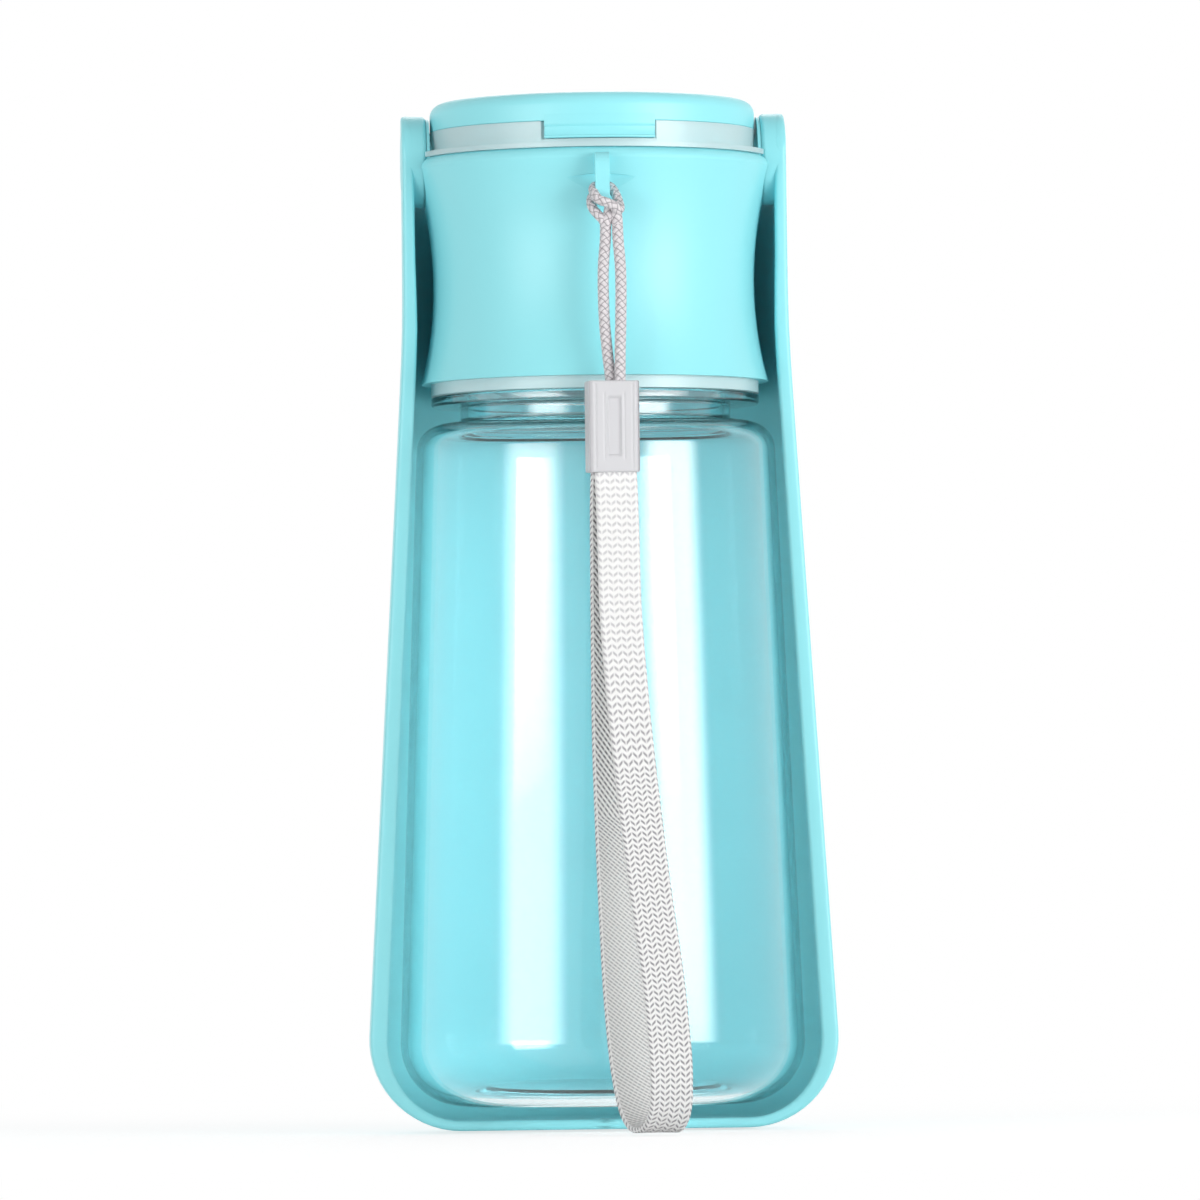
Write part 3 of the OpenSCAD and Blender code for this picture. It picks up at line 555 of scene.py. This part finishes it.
braid_finish = make_braid()
put_on(aqua, "collar", "pivot_pin_left", "pivot_pin_right")
put_on(frosted, "neck_insert", "mouth_ring")
put_on(aqua, "friction_washer_left", "friction_washer_right")
put_on(silicone, "tube_seal", "neck_seal", "lid_seal")
put_on(steel, "lid_hinge_pin")

# ---------------------------------------------------------------- strap

WEBBING_ROUTE = [
    (1.8, -40.8, 129.4), (2.0, -41.4, 124), (2.1, -43.4, 114), (2.2, -46.2, 102), (3.1, -49.6, 86),
    (4.6, -53.2, 68), (6.7, -56.0, 48), (9.0, -57.4, 30), (10.2, -57.4, 16), (10.4, -56.9, 9),
    (10.1, -55.4, 4.4), (9.1, -52.8, 1.6), (7.8, -49.8, 0.8), (6.3, -46.8, 1.6), (5.0, -44.4, 4.4),
    (4.0, -42.9, 9), (3.1, -42.2, 16), (2.2, -41.8, 28), (1.6, -41.6, 42), (1.1, -41.2, 58),
    (0.7, -40.8, 76), (0.7, -40.2, 94), (0.8, -39.6, 110), (0.9, -39.2, 122), (1.1, -39.2, 129.4)]
CORD_LEFT_ROUTE = [(0.5, -39.0, 178.2), (0.4, -39.2, 175), (-0.1, -39.5, 168.6), (0, -39.5, 160),
                   (0.5, -39.4, 153.6), (1.2, -39.3, 147.4)]
CORD_RIGHT_ROUTE = [(2.8, -39.6, 178.2), (2.9, -39.9, 175), (3.3, -40.3, 168.6), (3.2, -40.6, 159.6),
                    (3.0, -40.8, 153.6), (2.9, -40.9, 147.4)]
# The hitch: a bight that goes behind the eyelet's bar and round in front of the strands, and three
# short tubes, which are its two legs and the upper end of the left strand
BIGHT_ROUTE = [(0.2, -36.0, 186.0), (1.5, -36.2, 185.9), (2.3, -37.2, 184.9), (2.9, -38.8, 183.3),
               (3.3, -40.2, 181.6), (3.0, -41.3, 180.9), (1.9, -41.9, 181.8), (0.5, -42.0, 182.4),
               (-0.8, -41.6, 182.9), (-1.6, -40.4, 184.0), (-1.8, -38.4, 185.1), (-1.3, -36.6, 185.9)]
LEG_LEFT_ROUTE = [(-0.6, -35.6, 184.9), (-1.9, -36.3, 183.9), (-2.2, -37.6, 182.6), (-1.9, -38.6, 181.4),
                  (-1.0, -39.1, 180.2), (-0.1, -39.2, 179.2), (0.4, -39.0, 178.2), (0.5, -39.0, 177.4)]
LEG_STRAND_ROUTE = [(1.4, -38.6, 181.9), (1.2, -39.3, 180.6), (0.8, -39.3, 179.2), (0.5, -39.05, 178.0),
                    (0.48, -39.05, 177.2)]
LEG_RIGHT_ROUTE = [(2.2, -38.2, 182.4), (2.5, -39.6, 181.0), (2.7, -39.8, 179.6), (2.8, -39.6, 178.2),
                   (2.82, -39.65, 177.4)]


STRAND_STEP, BAND_STEP = 0.5, 0.8    # millimetres from one ring of points to the next
BAND_TILT = math.radians(5)          # the webbing's turn about its own run


def tube_uv(shape, run):
    """A map with u once round the tube and v its run in millimetres."""
    u = np.broadcast_to(np.linspace(0, 1, shape[1])[None, :], shape[:2])
    v = np.broadcast_to(run[:, None], shape[:2])
    return np.stack([u, v], -1)


def cord_tube(route, diameter, sides=24):
    """A round tube along a route. Its last line of points lies on its first, so that the pattern's
    map has a seam there."""
    line, run = smooth_route(route, STRAND_STEP)
    a = np.linspace(0, TURN, sides + 1)
    section = np.stack([np.cos(a), np.sin(a)], -1) * diameter / 2
    grid = capped(carried(line, section, (1, 0.2, 0)))
    run = np.concatenate([run[:1], run, run[-1:]])
    return grid, tube_uv(grid.shape, run)


def webbing_band():
    """The flat braid: a section with round edges carried along the route, its first axis across."""
    line, run = smooth_route(WEBBING_ROUTE, BAND_STEP)
    w, t = WEBBING_W / 2, WEBBING_T / 2
    side = np.linspace(-1, 1, 25)
    a = np.radians(np.linspace(-90, 90, 9))[1:-1]
    flat = w - t
    front = np.stack([flat * side, t + 0 * side], -1)[::-1]
    back = np.stack([flat * side, -t + 0 * side], -1)
    right = np.stack([flat + t * np.cos(a), t * np.sin(a)], -1)
    section = np.vstack([back, right, front, -right])
    section = np.vstack([section, section[:1]])
    grid = capped(carried(line, section, (math.cos(BAND_TILT), math.sin(BAND_TILT), 0)))
    edge = np.concatenate([[0], np.cumsum(np.linalg.norm(np.diff(section, axis=0), axis=1))])
    run = np.concatenate([run[:1], run, run[-1:]])
    uv = np.stack(np.broadcast_arrays(edge[None, :], run[:, None]), -1)
    return grid, uv


def metres(route):
    """A route's points in metres."""
    return [tuple(c * MM for c in p) for p in route]


grid, uv = webbing_band()
webbing = piece("strap_band", [(grid, False, False)], "strap", "webbing", webbing_finish,
                ("strap_webbing",), sharp=SOFT_EDGE, uvs=uv)
for side, route in (("left", CORD_LEFT_ROUTE), ("right", CORD_RIGHT_ROUTE)):
    grid, uv = cord_tube(route, CORD_D)
    piece("strand_" + side, [(grid, False, False)], "strap", "braided_cord",
                          braid_finish, ("cord_" + side,), sharp=SOFT_EDGE, uvs=uv)
grid, uv = cord_tube(BIGHT_ROUTE + BIGHT_ROUTE[:2], HITCH_D)
piece("hitch", [(grid, False, False)], "head", "braided_cord", braid_finish, ("cord_hitch",),
      sharp=SOFT_EDGE, uvs=uv)
tubes = [cord_tube(LEG_LEFT_ROUTE, HITCH_D), cord_tube(LEG_STRAND_ROUTE, CORD_D),
         cord_tube(LEG_RIGHT_ROUTE, CORD_D)]
legs = piece("hitch_legs", [(g, False, False) for g, _ in tubes], None, "braided_cord", braid_finish,
             sharp=SOFT_EDGE, uvs=np.concatenate([u.reshape(-1, 2) for _, u in tubes]))
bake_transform(legs)


# Across the clip's face from its middle, in millimetres
PANEL_X, GROOVE_X, EDGE_GROOVE_X, BEVEL_X = 1.15, 2.0, 3.7, 4.25
PANEL_Z, GROOVE_Z, EDGE_GROOVE_Z = 5.6, 6.4, 8.2


def clip_grids(front):
    """One half of the clip: a block with rounded edges. The front half's face has a sunk panel, a fine
    groove beside each of its long edges, another near the clip's side and a bevel at the side, as a
    depth that depends on x and z alone. A groove's depth is exp(-(x / width)^2) about its line. The
    half is then turned about the clip's upright axis, as the clip hangs."""
    half = CLIP_T / 2
    grids = []
    for g in rounded_box((CLIP_W, half, CLIP_TOP - CLIP_FOOT), 0.4, 4, 48):
        if front:
            x, z = np.abs(g[..., 0]), np.abs(g[..., 2])
            face = smooth(-g[..., 1], half / 2 - 0.3, half / 2 - 0.05)
            panel = (1 - smooth(x, PANEL_X, PANEL_X + 0.25)) * (1 - smooth(z, PANEL_Z, PANEL_Z + 0.25))
            groove = np.exp(-((x - GROOVE_X) / 0.14) ** 2) * (1 - smooth(z, GROOVE_Z, GROOVE_Z + 0.3))
            edge_groove = np.exp(-((x - EDGE_GROOVE_X) / 0.16) ** 2)
            edge_groove *= 1 - smooth(z, EDGE_GROOVE_Z, EDGE_GROOVE_Z + 0.3)
            bevel = np.clip((x - BEVEL_X) / 0.8, 0, 1)
            g[..., 1] += face * (0.5 * panel + 0.12 * groove + 0.2 * edge_groove + 0.7 * bevel)
        y = g[..., 1] + (-half / 2 if front else half / 2)
        a = math.radians(CLIP_TURN)
        grids.append((np.stack([CLIP_X + g[..., 0] * math.cos(a) - y * math.sin(a),
                                CLIP_Y + g[..., 0] * math.sin(a) + y * math.cos(a),
                                (CLIP_TOP + CLIP_FOOT) / 2 + g[..., 2]], -1), False, False))
    return grids


def block_piece(name, grids, *args, **kwargs):
    """A block's six grids joined into one closed form, turned to face outwards as a whole."""
    thing = piece(name, grids, *args, turn_out=False, **kwargs)
    shape = bmesh.new()
    shape.from_mesh(thing.data)
    bmesh.ops.recalc_face_normals(shape, faces=shape.faces)
    shape.to_mesh(thing.data)
    shape.free()
    thing.data.set_sharp_from_angle(angle=math.radians(50))
    return thing


block_piece("clip_front_shell", clip_grids(True), "strap", "grey_plastic", grey, ("clip_front",))
block_piece("clip_back_shell", clip_grids(False), "strap", "grey_plastic", grey, ("clip_back",))
for side, route in (("left", CORD_LEFT_ROUTE), ("right", CORD_RIGHT_ROUTE)):
    line, run = smooth_route(route, STRAND_STEP)
    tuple(metres(route)[0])
line, run = smooth_route(WEBBING_ROUTE, BAND_STEP)
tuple(metres(WEBBING_ROUTE)[0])

# ---------------------------------------------------------------- trough

BEND_SOFT = 6.0               # the length over which the side's bend is softened
EDGE_DROP, EDGE_BACK = 4.4, 19.5     # the edge's sweep behind the ear: its drop, and where it ends
LIP_R, PLAIN_Z = 0.8, 172.0   # the rounding of every edge, and the height below which rows are level
FRONT_Y = [-7.7, -7.1, -6.5, -6.1, -5.7, -5.3, -4.9, -4.2, -3.2, -2.2, -1.1]
BEAD_HEIGHTS, BEAD_MORE = [17, 160, 174, 200], [1.5, 0.8, 0.4, 0.3]


def trough_side(z, inset):
    """Half-width of the trough's side at height z: straight above the bend, and spreading below it by
    the slope times a softened distance to the bend, (d + sqrt(d^2 + w^2)) / 2."""
    d = BEND_Z - z
    return ARM_OUT + SIDE_SLOPE * (d + np.sqrt(d * d + BEND_SOFT ** 2)) / 2 - inset


def trough_top(y):
    """Height of the trough's edge at depth y: the ear's circle, then a sweep down to the back."""
    circle = PIVOT_Z + np.sqrt(np.maximum(EAR_R ** 2 - y * y, 0))
    back = BACK_Z + EDGE_DROP * (1 - smooth(y, EAR_R, EDGE_BACK)) ** 1.6
    return np.where(y <= EAR_R - 1e-3, circle, back)


def trough_grid():
    """The trough as one closed loop of profile (outer skin up, lip, inner skin down) carried along its
    plan: straight from the front rim to the axis, then half a circle, then straight again. Each point
    is (r cos p, y + r sin p, z); the inset from the outer skin grows from nothing to the wall, or to
    the thicker bead along the rim, and both skins close on each other round the rim and the lip."""
    turn = np.radians(np.linspace(90, 0, 7))
    rim_y = -RIM_Y + LIP_R * (1 - np.sin(turn))
    straight = np.array(FRONT_Y)
    ear = np.radians(np.linspace(0, 90, 14))
    phi_ear = np.arcsin(EAR_R * np.sin(ear) / ARM_OUT)
    phi = np.concatenate([phi_ear, [phi_ear[-1] + 0.0012],
                          np.linspace(phi_ear[-1] + 0.02, math.pi / 2, 40)])
    y0 = np.concatenate([[-RIM_Y], rim_y, straight, 0 * phi])[:, None]
    p = np.concatenate([np.zeros(1 + len(rim_y) + len(straight)), phi])[:, None]
    edge = np.concatenate([[1.0], 1 - np.cos(turn), 0 * straight, 0 * phi])[:, None] * LIP_R
    closing = np.concatenate([[1.0], np.zeros(len(y0) - 1)])[:, None]
    bead = 1 - smooth(y0, -6.4, -5.0)
    top = trough_top(y0 + ARM_OUT * np.sin(p)) - LIP_R

    floor = np.linspace(0, 1, 10)[:-1]
    corner = np.radians(np.linspace(-90, math.degrees(math.atan(SIDE_SLOPE)), 16))
    wall_low = np.linspace(0, 1, 26)[1:]
    wall_high = np.linspace(0, 1, 16)[1:]
    zc = TROUGH_CORNER
    xc = trough_side(zc, 0) - TROUGH_CORNER / math.cos(math.atan(SIDE_SLOPE))
    z_foot = zc + TROUGH_CORNER * math.sin(corner[-1])

    def skin(inner):
        """One skin from the middle of the floor to its upper edge, with its inset."""
        low_z = z_foot + (PLAIN_Z - z_foot) * wall_low
        height = np.concatenate([0 * floor, 0 * corner + 9, low_z, PLAIN_Z + 30 * wall_high])
        upright = np.ones(len(wall_low) + len(wall_high))
        turned = np.concatenate([0 * floor, smooth(corner, -math.pi / 2, 0), upright])
        thick = TROUGH_WALL + bead * turned * np.interp(height, BEAD_HEIGHTS, BEAD_MORE)
        inset = thick - edge if inner else edge + 0 * thick
        inset = np.where(closing > 0, thick / 2, inset)
        r = np.empty(inset.shape)
        z = np.empty(inset.shape)
        a, b = len(floor), len(floor) + len(corner)
        r[:, :a] = xc * floor
        z[:, :a] = inset[:, :a]
        r[:, a:b] = xc + (TROUGH_CORNER - inset[:, a:b]) * np.cos(corner)
        z[:, a:b] = zc + (TROUGH_CORNER - inset[:, a:b]) * np.sin(corner)
        low = np.broadcast_to(low_z, (len(y0), len(wall_low)))
        z[:, b:] = np.hstack([low, PLAIN_Z + (top - PLAIN_Z) * wall_high])
        r[:, b:] = trough_side(z[:, b:], inset[:, b:])
        return r, z, inset

    r0, z0, n0 = skin(False)
    r1, z1, n1 = skin(True)
    over = np.linspace(0, math.pi, 9)[None, 1:-1]
    mid, half = (n0[:, -1:] + n1[:, -1:]) / 2, (n1[:, -1:] - n0[:, -1:]) / 2
    n_lip = mid - half * np.sign(np.cos(over)) * np.abs(np.cos(over)) ** 0.8
    z_lip = top + LIP_R * np.sin(over) ** 0.8 * np.minimum(half / 0.6, 1)
    r_lip = trough_side(z_lip, n_lip)
    r = np.hstack([r0, r_lip, r1[:, ::-1]])
    z = np.hstack([z0, z_lip, z1[:, ::-1]])
    grid = np.stack([r * np.cos(p), y0 + r * np.sin(p), z], -1)
    mirror = grid[::-1][1:] * np.array([-1, 1, 1])
    return np.concatenate([grid, mirror]), False, True


def ear_boss(side):
    """The round boss behind each ear, flush with its rim and rounded at its inner edge."""
    profile = rounded([(33.45, 2.55), (33.45, 9.12), (37.1, 9.12), (37.1, 2.55)], [0.15, 0.9, 0, 0], 6)
    return turned_about_x(profile, 96, 0, PIVOT_Z, side)


def recess_cutter(side):
    """What is cut from the ear for the pin's head: a disc whose edge opens out a little."""
    profile = np.array([(37.13, 0.001), (37.13, 6.0), (38.15, 6.0), (38.45, 6.3), (41, 6.3), (41, 0.001)])
    return turned_about_x(profile, 96, 0, PIVOT_Z, side)


def cut(thing, grids):
    """Take closed forms away from a piece for good."""
    for grid, wrap_u, wrap_v in grids:
        p = grid.reshape(-1, 3)
        f = quads(grid.shape[0], grid.shape[1], wrap_u, wrap_v)
        f = f if volume(p, f) > 0 else f[:, ::-1]
        mesh = bpy.data.meshes.new("cutter")
        mesh.from_pydata((p * MM).tolist(), [], f.tolist())
        cutter = in_scene("cutter", mesh)
        modifier = thing.modifiers.new("cut", "BOOLEAN")
        modifier.object, modifier.operation, modifier.solver = cutter, "DIFFERENCE", "EXACT"
        bpy.context.view_layer.update()
        shown = thing.evaluated_get(bpy.context.evaluated_depsgraph_get())
        result = bpy.data.meshes.new_from_object(shown)
        thing.modifiers.clear()
        old, thing.data = thing.data, result
        result.name = old.name
        bpy.data.meshes.remove(old)
        bpy.data.objects.remove(cutter)
        bpy.data.meshes.remove(mesh)


trough = piece("trough_shell", [trough_grid()], "trough", "aqua_plastic", aqua, ("trough",))
cut(trough, [recess_cutter(1), recess_cutter(-1)])
trough.data.set_sharp_from_angle(angle=math.radians(SHARP_EDGE))
ears = piece("trough_bosses", [ear_boss(1), ear_boss(-1)], "trough", "aqua_plastic", aqua)
even_normals(ears)

# ---------------------------------------------------------------- bottle


def bottle_profile():
    """Outer side from the middle of the base up to the mouth, and the inner side back down: arcs for the
    base corner and shoulder, and small fillets at the neck, the bead and the mouth."""
    upright = SHOULDER_Z - BOTTLE_Z - BASE_CORNER - SHOULDER_CORNER
    lean = math.degrees(math.atan((BASE_R - SHOULDER_R) / upright))

    def side(t):
        """One side from the middle of the base to the shoulder, t inside the outer one."""
        foot = rounded([(0, BOTTLE_Z + KICK_UP + t), (23, BOTTLE_Z + KICK_UP + t),
                        (25.5, BOTTLE_Z + t), (27.5, BOTTLE_Z + t)], [0, 1.6, 1.6, 0], 5, closed=False)
        low = arc_line(BASE_R - BASE_CORNER, BOTTLE_Z + BASE_CORNER, BASE_CORNER - t, -90, lean, 20)
        high = arc_line(SHOULDER_R - SHOULDER_CORNER, SHOULDER_Z - SHOULDER_CORNER,
                        SHOULDER_CORNER - t, lean, 90, 12)
        rise = np.linspace(0, 1, 22)[1:-1, None]
        return np.vstack([foot, low, low[-1] + (high[0] - low[-1]) * rise, high])

    corners = [(29, SHOULDER_Z), (27, SHOULDER_Z), (27, BEAD_Z), (BEAD_R, BEAD_Z), (BEAD_R, NECK_Z),
               (THREAD_R, NECK_Z), (THREAD_R, SEAL_Z), (BORE_R, SEAL_Z), (BORE_R, SHOULDER_Z + 0.6),
               (27.2, SHOULDER_Z - BOTTLE_WALL), (29, SHOULDER_Z - BOTTLE_WALL)]
    neck = rounded(corners, [0, 0.7, 0.5, 0.5, 0.5, 0.3, 0.35, 0.35, 1.6, 1.0, 0], 6, closed=False)
    return np.vstack([side(0), neck, side(BOTTLE_WALL)[::-1]])


def thread_grid():
    """A helical ridge: a rounded section on the neck's radius that rises by the lead each turn and
    sinks into the wall over its first and last thirty degrees."""
    a = np.linspace(0, THREAD_TURNS * TURN, round(THREAD_TURNS * 90))
    fade = np.minimum(1, np.minimum(a, a[-1] - a) / math.radians(30))[:, None]
    section = np.array([(-0.4, -0.6), (0.2, -0.55), (0.85, -0.34), (1.0, 0),
                        (0.85, 0.34), (0.2, 0.55), (-0.4, 0.6)])
    out, up = section[None, :, 0], section[None, :, 1]
    r = THREAD_R + np.where(out > 0, out * THREAD_RIDGE * fade, out)
    turn = a[:, None] + math.radians(40)
    z = INSERT_Z + THREAD_UP + up + THREAD_LEAD * a[:, None] / TURN
    return capped(np.stack([r * np.cos(turn), r * np.sin(turn), z], -1)), False, True


bottle = piece("bottle_shell", [revolved_open(bottle_profile())], "bottle", "clear_plastic", clear,
               ("bottle",), sharp=45)
even_normals(bottle)
piece("bottle_thread", [thread_grid()], "bottle", "clear_plastic", clear, sharp=50)

# ---------------------------------------------------------------- lid


def lid_profile():
    """The lid's shell: top with a rounded edge, wall, and the hollow underneath."""
    z0, z1 = MOUTH_TOP + 0.05, LID_TOP
    corners = [(0, z1), (LID_R, z1), (LID_R, z0), (LID_R - LID_WALL, z0),
               (LID_R - LID_WALL, z1 - LID_WALL), (0, z1 - LID_WALL)]
    return rounded(corners, [0, 2.6, 0.25, 0.2, 0.4, 0], 10, closed=False)


def lid_tab():
    """The front tab: a profile of (radius, height) swept round the axis over the tab's width and drawn
    in a little at its two ends. Its face runs down from the lid's side without a step, dips a little
    below the lid's edge and ends in a small lip."""
    outer, inner, foot = LID_R + 0.1, LID_R + 0.1 - TAB_T, MOUTH_TOP - TAB_DROP
    profile = np.array([
        (LID_R - 0.06, MOUTH_TOP + 2.6), (LID_R + 0.02, MOUTH_TOP + 1.0), (outer, MOUTH_TOP - 0.3),
        (outer, MOUTH_TOP - 0.7), (outer - 0.10, MOUTH_TOP - 0.85), (outer - 0.28, MOUTH_TOP - 1.1),
        (outer - 0.28, foot + 0.75), (outer - 0.2, foot + 0.6), (outer - 0.02, foot + 0.45),
        (outer, foot + 0.35), (outer, foot + 0.15), (outer - 0.06, foot + 0.05),
        (outer - 0.2, foot), (inner + 0.2, foot), (inner, foot + 0.2), (inner, MOUTH_TOP + 0.6),
        (LID_R - 0.5, MOUTH_TOP + 2.6)])
    middle = profile.mean(0)
    half = math.asin(TAB_W / 2 / outer)
    edge = np.array([0.0, 0.02, 0.08, 0.2]) / outer
    flat = np.linspace(-half, half, 34)[1:-1]
    across = np.concatenate([edge - half, flat, (half - edge)[::-1]])
    end = np.array([0.86, 0.94, 0.985, 1.0])
    shrink = np.concatenate([end, 1 + 0 * flat, end[::-1]])
    ring = middle + (profile - middle)[None] * np.stack([shrink, 0.5 + shrink / 2], -1)[:, None]
    r, z, a = ring[..., 0], ring[..., 1], across[:, None]
    return capped(np.stack([r * np.sin(a), -r * np.cos(a), z], -1)), False, True


lid = piece("lid_shell", [revolved_open(lid_profile())], "lid", "aqua_plastic", aqua, ("lid",), sharp=45)
even_normals(lid)
piece("lid_front_tab", [lid_tab()], "lid", "aqua_plastic", aqua, sharp=35)
barrel = rounded([(-4.5, 0.95), (-4.5, 1.9), (4.5, 1.9), (4.5, 0.95)], [0, 0.25, 0.25, 0], 3)
piece("lid_knuckle", [turned_about_x(barrel, 48, HINGE_Y, HINGE_Z)], "lid", "aqua_plastic", aqua)
bridge = np.array([0, BRIDGE_Y, MOUTH_TOP + BRIDGE_UP])
block_piece("lid_hinge_bridge", [(g + bridge, False, False) for g in rounded_box((9, 3, 2.1), 0.5, 3, 2)],
            "lid", "aqua_plastic", aqua)

# ---------------------------------------------------------------- stage

FLOOR_NEAR, FLOOR_FAR = 0.06, 0.34   # metres from the origin between which the floor turns white
FLOOR_HALF, FLOOR_Z = 6, -0.0005
LAMP_AIM = Vector((0, 0, 0.12))


def add_floor():
    """A pale floor just below the object. To light rays it is a plain pale surface. To the eye, to
    glosses and through clear walls it takes the object's shadow near by, and turns into plain white
    with the distance from the origin."""
    mesh = bpy.data.meshes.new("floor")
    corners = [(-1, -1), (1, -1), (1, 1), (-1, 1)]
    mesh.from_pydata([(x * FLOOR_HALF, y * FLOOR_HALF, FLOOR_Z) for x, y in corners], [], [(0, 1, 2, 3)])
    floor = in_scene("floor", mesh)
    material, tree, bsdf = new_material("floor")
    place = tree.nodes.new("ShaderNodeTexCoord")
    far_off = node(tree, "ShaderNodeVectorMath", operation="LENGTH")
    tree.links.new(place.outputs["Object"], far_off.inputs[0])
    path = tree.nodes.new("ShaderNodeLightPath")

    def by_distance(near, far, to_light_rays):
        """A value that runs from near to far with the distance, and is fixed for light rays."""
        seen = node(tree, "ShaderNodeMapRange", interpolation_type="SMOOTHSTEP")
        ends = {"From Min": FLOOR_NEAR, "From Max": FLOOR_FAR, "To Min": near, "To Max": far}
        for name, value in ends.items():
            seen.inputs[name].default_value = value
        tree.links.new(far_off.outputs["Value"], seen.inputs["Value"])
        chosen = node(tree, "ShaderNodeMix", data_type="FLOAT")
        tree.links.new(path.outputs["Is Diffuse Ray"], chosen.inputs["Factor"])
        tree.links.new(seen.outputs["Result"], chosen.inputs[2])
        chosen.inputs[3].default_value = to_light_rays
        return chosen.outputs[0]

    tree.links.new(by_distance(0.5, 0.0, 0.8), bsdf.inputs["Base Color"])
    tree.links.new(by_distance(0.68, 1.0, 0.0), bsdf.inputs["Emission Strength"])
    set_values(bsdf, Roughness=0.8, Specular_IOR_Level=0.0, Emission_Color=(1, 1, 1, 1))
    mesh.materials.append(material)


def add_softbox(name, azimuth, distance, width, height, z, radiance, soft):
    """A soft box as seen from the front: azimuth turns to the right from the camera's side. Its power
    is the radiance times pi times its area, and its face grows darker towards its edges, by a smooth
    step over the given share of its width and height."""
    light = bpy.data.lights.new(name, "AREA")
    light.shape, light.size, light.size_y = "RECTANGLE", width, height
    light.energy = radiance * math.pi * width * height
    light.use_nodes = True
    tree = light.node_tree
    emission = tree.nodes["Emission"]
    place = tree.nodes.new("ShaderNodeNewGeometry")
    split = tree.nodes.new("ShaderNodeSeparateXYZ")
    tree.links.new(place.outputs["Parametric"], split.inputs[0])
    calc = calculator(tree)
    fades = []
    for axis in "XY":
        fade = node(tree, "ShaderNodeMapRange", interpolation_type="SMOOTHSTEP")
        fade.inputs["From Max"].default_value = soft
        tree.links.new(calc("PINGPONG", split.outputs[axis], 0.5), fade.inputs["Value"])
        fades.append(fade.outputs["Result"])
    tree.links.new(calc("MULTIPLY", *fades), emission.inputs["Strength"])
    lamp = in_scene(name, light)
    a = math.radians(azimuth)
    lamp.location = (distance * math.sin(a), -distance * math.cos(a), z)
    lamp.rotation_euler = (LAMP_AIM - lamp.location).to_track_quat("-Z", "Y").to_euler()


def add_world(fill):
    """White where the camera, a gloss or a clear wall looks at it, and a weaker fill for the rest."""
    world = bpy.data.worlds.new("world")
    bpy.context.scene.world = world
    world.use_nodes = True
    tree = world.node_tree
    background = tree.nodes["Background"]
    background.inputs["Color"].default_value = (1, 1, 1, 1)
    path = tree.nodes.new("ShaderNodeLightPath")
    strength = node(tree, "ShaderNodeMapRange")
    strength.inputs["To Min"].default_value, strength.inputs["To Max"].default_value = 1.0, fill
    tree.links.new(path.outputs["Is Diffuse Ray"], strength.inputs["Value"])
    tree.links.new(strength.outputs["Result"], background.inputs["Strength"])


add_floor()
add_softbox("soft box left", -44, 1.1, 0.94, 0.38, 0.16, 7.2, 0.30)
add_softbox("soft box right", 46, 1.1, 0.92, 0.5, 0.20, 11.4, 0.34)
add_softbox("soft box behind", 176, 1.15, 0.95, 0.6, 0.85, 3.2, 0.4)
add_world(0.45)
bpy.context.scene.view_settings.view_transform = "Standard"
